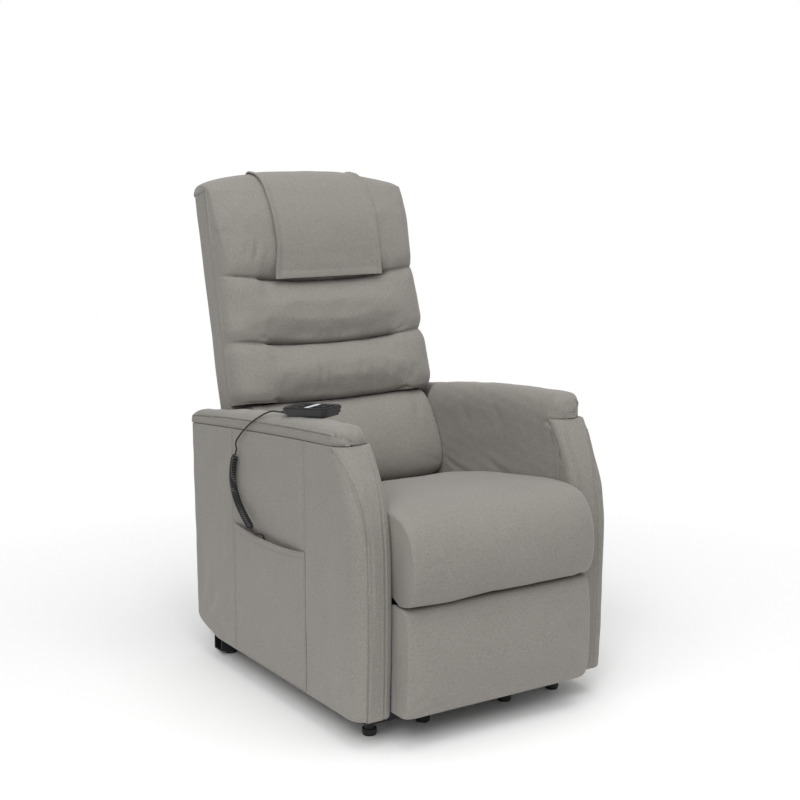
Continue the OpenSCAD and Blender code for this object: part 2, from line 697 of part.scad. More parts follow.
// Skin over rings that are thin strips: each end cap is a strip of squares, split in two
module sheet_loft(rings) {
    n = len(rings[0]);
    last = (len(rings) - 1) * n;
    polyhedron(
        points = [for (ring = rings) each ring],
        faces = concat(
            [for (i = [0:n / 2 - 2]) each [[i, i + 1, n - 1 - i], [i + 1, n - 2 - i, n - 1 - i]]],
            [for (k = [0:len(rings) - 2], i = [0:n - 1])
                let (a = k * n + i, b = k * n + (i + 1) % n)
                each [[a, a + n, b], [b, a + n, b + n]]],
            [for (i = [0:n / 2 - 2]) each [[last + i, last + n - 1 - i, last + i + 1],
                [last + i + 1, last + n - 1 - i, last + n - 2 - i]]]));
}

// ---------- back rest ----------

// Places what is drawn with X across, Y behind and Z up along the back's rear face
module in_back() {
    translate([0, back_foot[0], back_foot[1]]) rotate([-back_lean, 0, 0]) children();
}

tongue_top = 60;
tongue_half = rail_in - 13;
shell_wall = 12;
shell_skin = 8;

module back_shell() color([0.51, 0.50, 0.48]) in_back() {
    translate([-tongue_half, -shell_skin, 0]) cube([2 * tongue_half, shell_skin, tongue_top + 1]);
    difference() {
        translate([-back_half, -shell_t, tongue_top]) cube([2 * back_half, shell_t, back_len - tongue_top]);
        translate([-back_half + shell_wall, -shell_t - 1, tongue_top - 1])
            cube([2 * (back_half - shell_wall), shell_t + 1 - shell_skin,
                back_len - tongue_top + 1 - shell_wall]);
    }
}

upright_x = rail_in - 63;
upright_w = 40;
strap_t = 2;
upright_d = shell_t - shell_skin - 0.3 - strap_t;
upright_y = -shell_skin - 0.3 - upright_d;

// Two uprights and three rails inside the shell
module back_frame() color([0.72, 0.58, 0.40]) in_back() {
    both_sides() translate([upright_x, upright_y, 4])
        cube([upright_w, upright_d, back_len - shell_wall - 6]);
    for (z = [110, mix(110, back_len - 60, 0.5), back_len - 60])
        translate([-upright_x + 0.3, upright_y, z]) cube([2 * upright_x - 0.6, upright_d, 45]);
}

strap_count = 8;
module back_straps() color([0.20, 0.20, 0.21]) in_back() for (i = [0:strap_count - 1])
    translate([-upright_x - upright_w + 4, -shell_t, mix(40, back_len - 90, i / (strap_count - 1))])
        cube([2 * (upright_x + upright_w - 4), strap_t, 50]);

hinge_plate_head = [on_back(0, 70, 25)[1], on_back(0, 70, 25)[2]];

// Torque tube of the back rest: plates up the uprights and the lever of the actuator
module back_hinge_tube() color([0.16, 0.16, 0.17]) {
    pin(back_pivot, 11, -upright_x - upright_w, upright_x + upright_w);
    both_sides() {
        slab(upright_x + upright_w, plate_t) bar(back_pivot, hinge_plate_head, 34);
        pin(back_pivot, pin_r + 2, upright_x + upright_w, rail_in + plate_t + 2);
    }
    lever_cheeks(back_pivot, back_eye_at, act_offset, act_pin_r, 26);
}

// ---------- footrest ----------

module foot_swing_frame() color([0.16, 0.16, 0.17]) {
    both_sides() {
        difference() {
            slab(swing_out - plate_t, plate_t) bar(swing_foot, swing_head, swing_w);
            pin(swing_foot, pin_r + pin_gap, swing_out - plate_t - 1, swing_out + 1);
        }
        for (p = [swing_head, guide_foot])
            pin(p, foot_pin_r, foot_link_out - plate_t - 1, swing_out - plate_t);
    }
    pin(swing_tube_at, 10, -swing_out + plate_t, swing_out - plate_t);
    lever_cheeks(swing_tube_at, foot_eye_at, -act_offset, act_pin_r, 22);
}

module foot_link(p, q, gap) difference() {
    slab(foot_link_out - plate_t, plate_t) bar(p, q, foot_link_w);
    pin(p, foot_pin_r + pin_gap, foot_link_out - plate_t - 1, foot_link_out + 1);
    pin(q, foot_pin_r + gap, foot_link_out - plate_t - 1, foot_link_out + 1);
}

module foot_lift_links() color([0.16, 0.16, 0.17]) both_sides() foot_link(swing_head, board_pivot, pin_gap);
module foot_guide_links() color([0.16, 0.16, 0.17]) both_sides() foot_link(guide_foot, guide_head, 0.4);

pad_low = pad_top - foot_pad_h;

// Board with the steel brackets that hold it on the links
module footboard() color([0.72, 0.58, 0.40]) {
    translate([-seat_half + 8, board_front_y, pad_low + 6])
        cube([2 * (seat_half - 8), foot_board_t, foot_pad_h - 12]);
    both_sides() {
        slab(foot_bracket_out - plate_t, plate_t) union() {
            bar(board_pivot, guide_head, 20);
            translate([board_front_y + foot_board_t, board_pivot[1] - 40])
                square([board_pivot[0] - board_front_y - foot_board_t, guide_head[1] - board_pivot[1] + 50]);
        }
        for (p = [board_pivot, guide_head])
            pin(p, foot_pin_r, foot_bracket_out - plate_t, foot_link_out + 1);
    }
}

foot_rings = 12;
foot_sides = 10;
module footrest_pad() color([0.53, 0.52, 0.50]) loft([for (i = [0:foot_rings])
    let (e = spread(i, foot_rings), k = crown(e, 0.45))
    [for (j = [0:foot_sides]) let (t = 180 * j / foot_sides)
        [e * seat_half, board_front_y - 0.3 - foot_pad_t * k * pow(sin(t), 0.4),
            mix(pad_low, pad_top, (1 - cos(t)) / 2)]]]);

// ---------- handset ----------

hand_y = -115;
hand_off = 11;
hand_split = hand_h - 7;
hand_r = 14;
base_inset = 2.5;
base_step = 5;
button_rows = 18;
button_cols = [-20, 25, 46];
button_r = 3;
button_gap = 0.4;
button_out = 2;

// The handset's own axes: x towards its front end, y towards the seat
function hand_turned(p) =
    let (y = p[1] * cos(hand_roll) - p[2] * sin(hand_roll), z = p[1] * sin(hand_roll) + p[2] * cos(hand_roll),
        x = p[0] * cos(hand_pitch) - z * sin(hand_pitch))
    [x * cos(hand_turn) - y * sin(hand_turn), x * sin(hand_turn) + y * cos(hand_turn),
        p[0] * sin(hand_pitch) + z * cos(hand_pitch)];
// The handset rests on the highest place of the pad under it
hand_rest = max([for (u = [-1:0.125:1], v = [-1:0.25:1])
    let (p = hand_turned([u * (hand_l / 2 - 6), v * (hand_w / 2 - 9), 0]))
        pad_at(hand_y + p[1], hand_off + p[0]) - p[2]]) + 0.3;
hand_at = [-width / 2 + arm_w / 2 + hand_off, hand_y, hand_rest];

module in_hand() {
    translate(hand_at) rotate([0, 0, hand_turn]) rotate([hand_roll, -hand_pitch, 0]) children();
}

module handset_base() color([0.05, 0.05, 0.055]) in_hand() {
    linear_extrude(base_step) round_rect(hand_l - 12, hand_w - 12, hand_r - 4);
    translate([0, 0, base_step]) linear_extrude(hand_split - 0.2 - base_step)
        round_rect(hand_l - 2 * base_inset, hand_w - 2 * base_inset, hand_r - base_inset);
}

module button_spot(col, row) {
    translate([button_cols[col], (row - 0.5) * button_rows, 0]) children();
}

module handset_top() color([0.05, 0.05, 0.055]) in_hand() difference() {
    union() {
        translate([0, 0, hand_split]) linear_extrude(hand_h - hand_split - 2)
            round_rect(hand_l, hand_w, hand_r);
        translate([0, 0, hand_h - 2]) linear_extrude(2) round_rect(hand_l - 5, hand_w - 5, hand_r - 2);
    }
    for (col = [0:2], row = [0, 1]) button_spot(col, row)
        translate([0, 0, hand_split + 2]) linear_extrude(hand_h)
            round_rect(button_w + 2 * button_gap, button_w + 2 * button_gap, button_r + button_gap);
}

module button(col, row) in_hand() button_spot(col, row)
    translate([0, 0, hand_split + 2 + button_travel + 0.4])
        linear_extrude(hand_h - hand_split - 2 - button_travel - 0.4 + button_out)
            round_rect(button_w, button_w, button_r);

module button_back_up() color([0.35, 0.36, 0.38]) button(0, 1);
module button_back_down() color([0.35, 0.36, 0.38]) button(0, 0);
module button_foot_up() color([0.35, 0.36, 0.38]) button(1, 1);
module button_foot_down() color([0.35, 0.36, 0.38]) button(1, 0);
module button_lift_up() color([0.35, 0.36, 0.38]) button(2, 1);
module button_lift_down() color([0.35, 0.36, 0.38]) button(2, 0);

// The cord leaves at the rear end, near the outer corner
relief_l = 16;
relief_at = [-hand_l / 2 + base_inset, -hand_w / 2 + 16, hand_split - 6];
module strain_relief() color([0.04, 0.04, 0.04]) in_hand() translate(relief_at) rotate([0, -90, 0])
    cylinder(r1 = 4, r2 = lead_d / 2 + 0.6, h = relief_l);

// ---------- handset cord ----------

relief_end = hand_at + hand_turned(relief_at - [relief_l, 0, 0]);
relief_dir = hand_turned([-1, 0, 0]);

cord_x = -width / 2 - 11.5;
coil_top = [cord_x, 122, 540];
coil_end = [cord_x, 48, 375];
// Middle line of the curly cord, as one sweep from its top to its end
coil_bend = [[cord_x, 168, 451], [cord_x, 119, 421]];
function coil_line(s) = pow(1 - s, 3) * coil_top + 3 * pow(1 - s, 2) * s * coil_bend[0]
    + 3 * (1 - s) * s * s * coil_bend[1] + pow(s, 3) * coil_end;
function coil_dir(s) = let (d = coil_line(min(1, s + 0.01)) - coil_line(max(0, s - 0.01))) d / norm(d);
// The lead leaves the strain relief, droops over the pad's edge and comes down onto the coil
lead_points = [
    relief_end + relief_dir * 0.1, relief_end + relief_dir * 4, relief_end + relief_dir * 8,
    [cord_x + 19.5, -6, 649], [cord_x + 7.0, 36, 627], [cord_x + 2.0, 82, 597], [cord_x + 0.2, 119, 565],
    coil_top - 8 * coil_dir(0), coil_top - 4 * coil_dir(0), coil_top
];
// The tail turns in over the pocket's mouth and ends at the boss inside the pocket
tail_gap = 0.3;
tail_end = [-width / 2 + 17, 22, 262];
tail_points = [
    coil_end + 0.1 * coil_dir(1), coil_end + 4 * coil_dir(1), coil_end + 8 * coil_dir(1),
    [cord_x + 3, 37.5, 369], [cord_x + 9, 34, 368.5], [cord_x + 16, 31, 365.5], [cord_x + 19.5, 29, 355],
    [cord_x + 20, 26, 325], [cord_x + 20.2, 23, 290], [cord_x + 20.5, 22, 270],
    [cord_x + 22, 22, 263.5], tail_end + [-4, 0, 0], tail_end
];

// A smooth curve through hand-chosen points, with n steps between two of them
function curve_point(a, b, c, d, t) = 0.5 * (2 * b + (c - a) * t + (2 * a - 5 * b + 4 * c - d) * t * t
    + (3 * b - a - 3 * c + d) * t * t * t);
function curve(p, n) = concat([for (i = [0:len(p) - 2], s = [0:n - 1])
    curve_point(p[max(i - 1, 0)], p[i], p[i + 1], p[min(i + 2, len(p) - 1)], s / n)], [p[len(p) - 1]]);

// Rings of a round tube along a path; the frame is carried along from the X direction
function tube_ring(path, i, r, sides) =
    let (d = along(path, i), a = cross(d, [1, 0.02, 0.01]), n = a / norm(a), b = cross(n, d))
    [for (j = [0:sides - 1]) path[i] + r * (cos(360 * j / sides) * n + sin(360 * j / sides) * b)];
module tube(path, d, sides) loft([for (i = [0:len(path) - 1]) tube_ring(path, i, d / 2, sides)]);

module handset_lead() color([0.04, 0.04, 0.04]) tube(curve(lead_points, 3), lead_d, 8);
module cord_tail() color([0.04, 0.04, 0.04]) tube(curve(tail_points, 2), lead_d, 8);

// The curls wind around that line
curl_steps = 8;
curl_total = curls * curl_steps;
curl_r = curl_d / 2 - lead_d / 2;
function curl_point(i) =
    let (s = mix(0.02, 0.98, i / curl_total), d = coil_dir(s), n = cross(d, [1, 0, 0]),
        ramp = min(1, min(i, curl_total - i) / curl_steps), a = 360 * i / curl_steps)
    coil_line(s) + ramp * curl_r * (cos(a) * n + sin(a) * [1, 0, 0]);
curl_path = concat([coil_top], [for (i = [0:curl_total]) curl_point(i)], [coil_end]);
function curl_gap() = min([for (i = [0:len(curl_path) - 7], j = [i + 6:min(i + 12, len(curl_path) - 1)])
    norm(curl_path[i] - curl_path[j])]) - lead_d;

module curly_cord() {
    echo(least_gap_between_curls = curl_gap());
    color([0.04, 0.04, 0.04]) tube(curl_path, lead_d, 6);
}

// ---------- nodes ----------

base_side_rails();
base_front_tube();
base_rear_tube();
base_brackets();
front_feet();
rear_feet();
lift_links();
lift_torque_tube();
stabiliser_links();
lift_motor();
lift_rod();
seat_side_rails();
seat_cross_tubes();
seat_side_plates();
motor_hangers();
seat_slats();
seat_front_board();
control_box();
arm_panel_right();
arm_panel_left();
arm_front_right();
arm_front_left();
inner_arm_right();
inner_arm_left();
arm_pad_right();
arm_pad_left();
side_pocket();
rear_panel();
seat_cushion();
back_hinge_tube();
back_frame();
back_straps();
back_shell();
lumbar_roll();
middle_roll();
upper_roll();
head_roll();
head_cover();
back_motor();
back_rod();
foot_swing_frame();
foot_lift_links();
foot_guide_links();
footboard();
footrest_pad();
foot_motor();
foot_rod();
handset_base();
handset_top();
button_back_up();
button_back_down();
button_foot_up();
button_foot_down();
button_lift_up();
button_lift_down();
strain_relief();
handset_lead();
curly_cord();
cord_tail();
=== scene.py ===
"""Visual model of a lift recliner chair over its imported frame. Sizes are in millimetres, meshes in metres."""

import logging
import math
from collections.abc import Callable, Sequence
from dataclasses import dataclass, field
from enum import Enum

import bmesh
import bpy
import numpy as np
from mathutils import Euler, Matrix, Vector
from mathutils.bvhtree import BVHTree
from mathutils.kdtree import KDTree


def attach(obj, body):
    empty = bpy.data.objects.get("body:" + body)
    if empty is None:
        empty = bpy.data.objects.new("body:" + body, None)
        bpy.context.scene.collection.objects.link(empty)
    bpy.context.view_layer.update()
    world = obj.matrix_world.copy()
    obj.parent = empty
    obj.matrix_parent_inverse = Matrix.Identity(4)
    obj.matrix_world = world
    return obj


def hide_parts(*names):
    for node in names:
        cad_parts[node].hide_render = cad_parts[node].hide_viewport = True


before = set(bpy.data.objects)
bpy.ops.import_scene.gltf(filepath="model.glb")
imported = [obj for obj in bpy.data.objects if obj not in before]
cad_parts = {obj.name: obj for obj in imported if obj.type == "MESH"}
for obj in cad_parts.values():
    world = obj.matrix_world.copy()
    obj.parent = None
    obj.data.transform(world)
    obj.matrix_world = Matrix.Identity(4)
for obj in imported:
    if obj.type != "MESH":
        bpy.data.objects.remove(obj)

LOG = logging.getLogger("lift_recliner")
MM = 0.001
# The back rest leans by this much about its hinge, whose y and z follow
LEAN = math.radians(13)
HINGE = (276.0, 345.0)
# Gap between a cover and what it lies on
GAP = 0.3
Num = float | np.ndarray
Hold = Callable[[np.ndarray], np.ndarray]


# ---------- numbers ----------


def linear(code: str) -> tuple[float, float, float, float]:
    """Turns an sRGB colour into the linear one that shaders use.

    Args:
        code: Six hexadecimal digits.

    Returns:
        Red, green, blue and alpha.
    """
    parts = [int(code[i : i + 2], 16) / 255 for i in (0, 2, 4)]
    red, green, blue = (p / 12.92 if p <= 0.04045 else ((p + 0.055) / 1.055) ** 2.4 for p in parts)
    return red, green, blue, 1.0


def mix(a: Num, b: Num, t: Num) -> Num:
    """Blends two values, with a at t = 0 and b at t = 1."""
    return a + (b - a) * t


def smooth(x: Num, low: float, high: float) -> Num:
    """Rises smoothly from 0 at low to 1 at high; low may be the larger one."""
    t = np.clip((x - low) / (high - low), 0.0, 1.0)
    return t * t * (3 - 2 * t)


def crown(e: Num, edge: Num, power: float = 4.0, root: float = 0.5) -> Num:
    """Fullness across a cushion: 1 in the middle, edge at e = -1 and 1; power flattens, root rounds it."""
    return edge + (1 - edge) * np.maximum(0.0, 1 - np.abs(e) ** power) ** root


def rounding(gap: Num, r: float) -> Num:
    """How far an edge of radius r draws in at a distance from it."""
    return r * (1 - np.sqrt(np.clip(1 - (1 - np.clip(gap / r, 0, 1)) ** 2, 0, 1)))


def graded(
    low: float, high: float, step: float, marks: tuple = (), fine: float = 1.2, reach: float = 7.0
) -> np.ndarray:
    """Places samples in steps that shrink near some marks.

    Args:
        low: First sample.
        high: Last sample.
        step: Widest step.
        marks: Places where the steps shrink.
        fine: Step at a mark.
        reach: Distance over which the steps widen again.

    Returns:
        The samples, in rising order.
    """
    x = np.linspace(low, high, 6000)
    density = np.full_like(x, 1 / step)
    for mark in marks:
        density = np.maximum(density, 1 / (fine + (step - fine) * np.minimum(1, np.abs(x - mark) / reach)))
    total = np.concatenate([[0], np.cumsum((density[1:] + density[:-1]) / 2 * np.diff(x))])
    return np.interp(np.linspace(0, total[-1], int(math.ceil(total[-1])) + 1), total, x)


def across(half: float, step: float, fine: float, reach: float, *marks: float) -> np.ndarray:
    """Places graded samples from -half to half, finest at both ends, one a row."""
    return graded(-half, half, step, (-half, half, *marks), fine, reach)[:, None]


def unit(v: np.ndarray) -> np.ndarray:
    """Scales vectors along the last axis to length 1."""
    return v / np.maximum(np.linalg.norm(v, axis=-1, keepdims=True), 1e-12)


def spots(x: Num, y: Num, z: Num) -> np.ndarray:
    """Joins places across, along and up to points along the last axis."""
    return np.stack(np.broadcast_arrays(x, y, z), axis=-1).astype(float)


def distances(path: np.ndarray) -> np.ndarray:
    """Measures how far along a line each of its points is."""
    return np.concatenate([[0], np.cumsum(np.linalg.norm(np.diff(path, axis=0), axis=1))])


def between(rows: np.ndarray, place: float) -> np.ndarray:
    """Blends the two rows next to a place that is given as a broken row number."""
    i = int(place)
    return mix(rows[i], rows[min(i + 1, len(rows) - 1)], place - i)


def closed(face: np.ndarray, back: np.ndarray) -> np.ndarray:
    """Joins the face and the back of a sheet, given as grids of points, to rings."""
    return np.concatenate([face, back[:, ::-1]], axis=1)


def arc(x: float, y: float, r: float, turns: Sequence) -> list:
    """Lists the points at some angles in degrees on the circle of radius r about a middle."""
    return [(x + r * math.cos(math.radians(a)), y + r * math.sin(math.radians(a))) for a in turns]


def curve(points: Sequence, steps: int) -> np.ndarray:
    """Draws a smooth line through chosen points.

    Args:
        points: The points, in millimetres.
        steps: Number of spans between two of them.

    Returns:
        The points of the line.
    """
    p = np.asarray(points, float)
    n = len(p)
    out = []
    for i in range(n - 1):
        a, b, c, d = p[max(i - 1, 0)], p[i], p[i + 1], p[min(i + 2, n - 1)]
        for t in (s / steps for s in range(steps)):
            straight = 2 * b + (c - a) * t
            bent = (2 * a - 5 * b + 4 * c - d) * t * t
            out.append(0.5 * (straight + bent + (3 * b - a - 3 * c + d) * t**3))
    out.append(p[-1])
    return np.array(out)


def ripple(points: np.ndarray, size: float, seed: int) -> np.ndarray:
    """Soft unevenness of hand-filled cloth, as a sum of slow waves.

    Args:
        points: Points along the last axis, in millimetres.
        size: Rough distance from one bump to the next.
        seed: Seed of the waves.

    Returns:
        A value from about -1 to 1 for each point.
    """
    rng = np.random.default_rng(seed)
    total = np.zeros(points.shape[:-1])
    for _ in range(9):
        way = unit(rng.normal(size=3)) * rng.uniform(0.7, 1.5) * 2 * math.pi / size
        total += np.sin(points @ way + rng.uniform(0, 2 * math.pi))
    return total / 4.5


def uneven(points: np.ndarray, *waves: tuple) -> np.ndarray:
    """Adds up ripples that are each given as a height, a size and a seed."""
    return sum(high * ripple(points, size, seed) for high, size, seed in waves)


def on_back(x: Num, u: Num, v: Num) -> np.ndarray:
    """Turns a place on the leaning back rest into the shared frame.

    Args:
        x: Across.
        u: Up along its rear face.
        v: Forward from its rear face.

    Returns:
        The points along the last axis.
    """
    x, u, v = np.broadcast_arrays(x, u, v)
    y = HINGE[0] + u * math.sin(LEAN) - v * math.cos(LEAN)
    return spots(x, y, HINGE[1] + u * math.cos(LEAN) + v * math.sin(LEAN))


def off_back(points: np.ndarray) -> tuple[np.ndarray, np.ndarray]:
    """Turns points into places up the rear face of the leaning back rest and forward from it."""
    y, z = points[..., 1] - HINGE[0], points[..., 2] - HINGE[1]
    return y * math.sin(LEAN) + z * math.cos(LEAN), z * math.sin(LEAN) - y * math.cos(LEAN)


# ---------- materials ----------


class Pattern(Enum):
    """What the surface of a material shows."""

    GRAIN = "grain"
    WOVEN = "woven"
    WOOD = "wood"
    TURNED = "turned"


def add(tree: bpy.types.NodeTree, kind: str, inputs: dict | None = None, **props) -> bpy.types.Node:
    """Adds a node to a tree.

    Args:
        tree: The tree.
        kind: The node's type.
        inputs: Socket name or index to a value, or to the socket that feeds it.
        props: Properties of the node.

    Returns:
        The node.
    """
    node = tree.nodes.new(kind)
    for name, value in props.items():
        setattr(node, name, value)
    for name, value in (inputs or {}).items():
        if isinstance(value, bpy.types.NodeSocket):
            tree.links.new(value, node.inputs[name])
        else:
            node.inputs[name].default_value = value
    return node


@dataclass(frozen=True)
class Finish:
    """A material, its colours and how coarse it is in millimetres."""

    name: str
    slot: str
    light: str
    dark: str
    grain: float
    patch: float
    rough: float
    bump: float
    pattern: Pattern = Pattern.GRAIN
    metal: float = 0.0
    sheen: float = 0.0

    def height(self, tree: bpy.types.NodeTree, place: bpy.types.NodeSocket) -> bpy.types.NodeSocket:
        """Draws the fine relief of the surface.

        Args:
            tree: The material's tree.
            place: Object coordinates.

        Returns:
            A socket with the relief from 0 to 1.
        """
        scale = 1 / (self.grain * MM)
        if self.pattern is Pattern.GRAIN:
            noise = {"Vector": place, "Scale": scale, "Detail": 3.0, "Roughness": 0.6}
            return add(tree, "ShaderNodeTexNoise", noise).outputs["Fac"]
        if self.pattern is Pattern.WOOD:
            stretched = {"Vector": place, "Scale": (0.04, 1.0, 1.0)}
            place = add(tree, "ShaderNodeMapping", stretched).outputs["Vector"]
            noise = {"Vector": place, "Scale": scale, "Detail": 5.0, "Distortion": 0.6}
            return add(tree, "ShaderNodeTexNoise", noise).outputs["Fac"]
        wave = {"Vector": place, "Scale": scale * 0.32, "Distortion": 0.4, "Detail": 1.0}
        ways = ("X", "Z" if self.pattern is Pattern.WOVEN else "Y")
        a, b = (add(tree, "ShaderNodeTexWave", wave, bands_direction=way).outputs["Fac"] for way in ways)
        return add(tree, "ShaderNodeMath", {0: a, 1: b}, operation="MAXIMUM").outputs["Value"]

    def build(self) -> bpy.types.Material:
        """Makes the material with its procedural shader.

        Returns:
            The material.
        """
        known = bpy.data.materials.get(self.name)
        if known:
            return known
        material = bpy.data.materials.new(self.name)
        material.use_nodes = True
        tree = material.node_tree
        shader = tree.nodes["Principled BSDF"]
        place = add(tree, "ShaderNodeTexCoord").outputs["Object"]
        relief = self.height(tree, place)
        noise = {"Vector": place, "Scale": 1 / (self.patch * MM), "Detail": 4.0, "Roughness": 0.55}
        patches = add(tree, "ShaderNodeTexNoise", noise).outputs["Fac"]
        shares = {"Factor": 0.88, "A": patches, "B": relief}
        both = add(tree, "ShaderNodeMix", shares, data_type="FLOAT").outputs["Result"]
        span = {"From Min": 0.3, "From Max": 0.7}
        tone = add(tree, "ShaderNodeMapRange", {"Value": both} | span).outputs["Result"]
        ends = {"Factor": tone, 6: linear(self.dark), 7: linear(self.light)}
        colour = add(tree, "ShaderNodeMix", ends, data_type="RGBA").outputs[2]
        tree.links.new(colour, shader.inputs["Base Color"])
        span |= {"Value": patches, "To Min": self.rough - 0.06, "To Max": min(1.0, self.rough + 0.06)}
        tree.links.new(add(tree, "ShaderNodeMapRange", span).outputs["Result"], shader.inputs["Roughness"])
        bump = {"Strength": 1.0, "Distance": self.bump * MM, "Height": relief}
        tree.links.new(add(tree, "ShaderNodeBump", bump).outputs["Normal"], shader.inputs["Normal"])
        looks = {"Metallic": self.metal, "Sheen Weight": self.sheen, "Sheen Roughness": 0.45}
        for socket, value in looks.items():
            shader.inputs[socket].default_value = value
        return material


class Palette:
    """The finishes of the chair."""

    # Brushed microfibre upholstery: fine nap as small noise, slow tone changes, soft sheen
    cloth = Finish("brushed_microfibre", "cover_cloth", "938f89", "716d67", 2.0, 90, 0.84, 0.2, sheen=0.2)
    # Sewing thread: twisted polyester, a little darker than the cloth
    thread = Finish("polyester_thread", "cover_cloth", "6c6861", "58544e", 0.3, 20, 0.6, 0.05, sheen=0.1)
    # Powder-coated steel: orange-peel relief
    steel = Finish("black_powder_coated_steel", "black_steel", "1c1c1e", "121214", 1.6, 45, 0.46, 0.05)
    # Chromed push rod: fine turning marks
    bright = Finish(
        "chromed_steel", "bright_steel", "b9babc", "a4a5a8", 0.7, 50, 0.2, 0.004, Pattern.TURNED, 1
    )
    # Moulded rubber of the feet
    rubber = Finish("moulded_rubber", "black_rubber", "161616", "0e0e0e", 1.1, 30, 0.7, 0.08)
    # Moulded plastic of the actuators and the control box: spark-eroded texture
    plastic = Finish("moulded_plastic", "black_plastic", "1b1b1d", "131315", 0.7, 40, 0.5, 0.06)
    # Handset shell: finer texture with a soft gloss
    shell = Finish("handset_plastic", "handset_shell", "08080a", "040405", 0.5, 30, 0.42, 0.01)
    # Painted reflection: pale slabs on the handset's glossy top where the lamps glint
    reflection_strip = Finish("painted_reflection_white", "handset_shell", "e4e6ea", "cfd2d8", 0.6, 20, 0.5, 0.01)
    # Silicone rubber keys
    key = Finish("silicone_keys", "button_rubber", "141416", "0c0c0e", 0.6, 18, 0.5, 0.02)
    # Extruded sheath of the cord
    sheath = Finish("cord_sheath", "cord_sheath", "101011", "09090a", 0.5, 25, 0.28, 0.01)
    # Birch plywood boards: stretched grain along the width
    wood = Finish("birch_plywood", "plywood", "c9ab7c", "a98655", 7, 90, 0.6, 0.1, Pattern.WOOD)
    # Lining of the boards: thin black non-woven cloth, made near black as painted shade for the dark gaps
    # around the footrest
    gap_shade_lining = Finish("black_gap_shade_lining", "plywood", "1c1c1d", "121213", 1.4, 30, 0.9, 0.1)
    # Elastic webbing: crossed threads
    web = Finish("elastic_webbing", "webbing", "3a3a3c", "242426", 2.2, 30, 0.85, 0.3, Pattern.WOVEN, 0, 0.1)


def paint(obj: bpy.types.Object, finish: Finish) -> bpy.types.Object:
    """Gives an object one finish and reports it.

    Args:
        obj: The object.
        finish: Its finish.

    Returns:
        The object.
    """
    obj.data.materials.clear()
    obj.data.materials.append(finish.build())
    LOG.info("%s: %s", obj.name, finish.name)
    return obj


def select(obj: bpy.types.Object) -> None:
    """Makes an object the active and the only selected one.

    Args:
        obj: The object.
    """
    bpy.ops.object.select_all(action="DESELECT")
    obj.select_set(True)
    bpy.context.view_layer.objects.active = obj


def dress(obj: bpy.types.Object, body: str, nodes: tuple) -> bpy.types.Object:
    """Puts a cover on its body, in place of the plain solids.

    Args:
        obj: The cover.
        body: The body that it moves with.
        nodes: The solids that it stands for.

    Returns:
        The object.
    """
    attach(obj, body)
    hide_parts(*nodes)
    return obj


# ---------- surfaces ----------


def make_object(
    name: str, points: np.ndarray, faces: list, finish: Finish, sharp: float = 0.0
) -> bpy.types.Object:
    """Makes a mesh object from points in millimetres.

    Args:
        name: Name of the object.
        points: One point a row.
        faces: Tuples of point numbers.
        finish: Its finish.
        sharp: Angle in degrees over which an edge stays sharp, or 0 for all smooth.

    Returns:
        The object.
    """
    mesh = bpy.data.meshes.new(name)
    mesh.from_pydata((np.asarray(points, float).reshape(-1, 3) * MM).tolist(), [], faces)
    shape = bmesh.new()
    shape.from_mesh(mesh)
    bmesh.ops.recalc_face_normals(shape, faces=shape.faces)
    shape.to_mesh(mesh)
    shape.free()
    mesh.polygons.foreach_set("use_smooth", [True] * len(mesh.polygons))
    obj = bpy.data.objects.new(name, mesh)
    bpy.context.scene.collection.objects.link(obj)
    if sharp:
        select(obj)
        bpy.ops.object.shade_smooth_by_angle(angle=math.radians(sharp))
    return paint(obj, finish)


@dataclass(frozen=True)
class Fold:
    """A crease or a ridge in cloth along a line; a negative depth makes a ridge."""

    path: Sequence
    width: float
    depth: float
    lip: float = 0.3
    taper: bool = True

    def push(self, points: np.ndarray) -> np.ndarray:
        """Works out how far each point moves outwards.

        Args:
            points: Points along the last axis, in millimetres.

        Returns:
            The outward moves.
        """
        p = np.asarray(self.path, float)
        length = distances(p)
        best = np.full(points.shape[:-1], 1e9)
        where = np.zeros(points.shape[:-1])
        for i, d in enumerate(np.diff(p, axis=0)):
            t = np.clip(((points - p[i]) @ d) / (d @ d), 0, 1)
            gap = np.linalg.norm(points - (p[i] + t[..., None] * d), axis=-1)
            near = gap < best
            best = np.where(near, gap, best)
            where = np.where(near, (length[i] + t * (length[i + 1] - length[i])) / length[-1], where)
        ends = np.sin(np.pi * np.clip(where, 0, 1)) ** 0.7 if self.taper else 1.0
        valley = np.exp(-((best / self.width) ** 2))
        ridges = np.exp(-(((best - 1.9 * self.width) / (0.9 * self.width)) ** 2))
        return -self.depth * ends * (valley - self.lip * ridges)


def back_fold(path: Sequence, width: float, depth: float) -> Fold:
    """Draws a fold on the leaning back rest, as places across, up and forward."""
    return Fold(on_back(*np.array(path, float).T), width, depth)


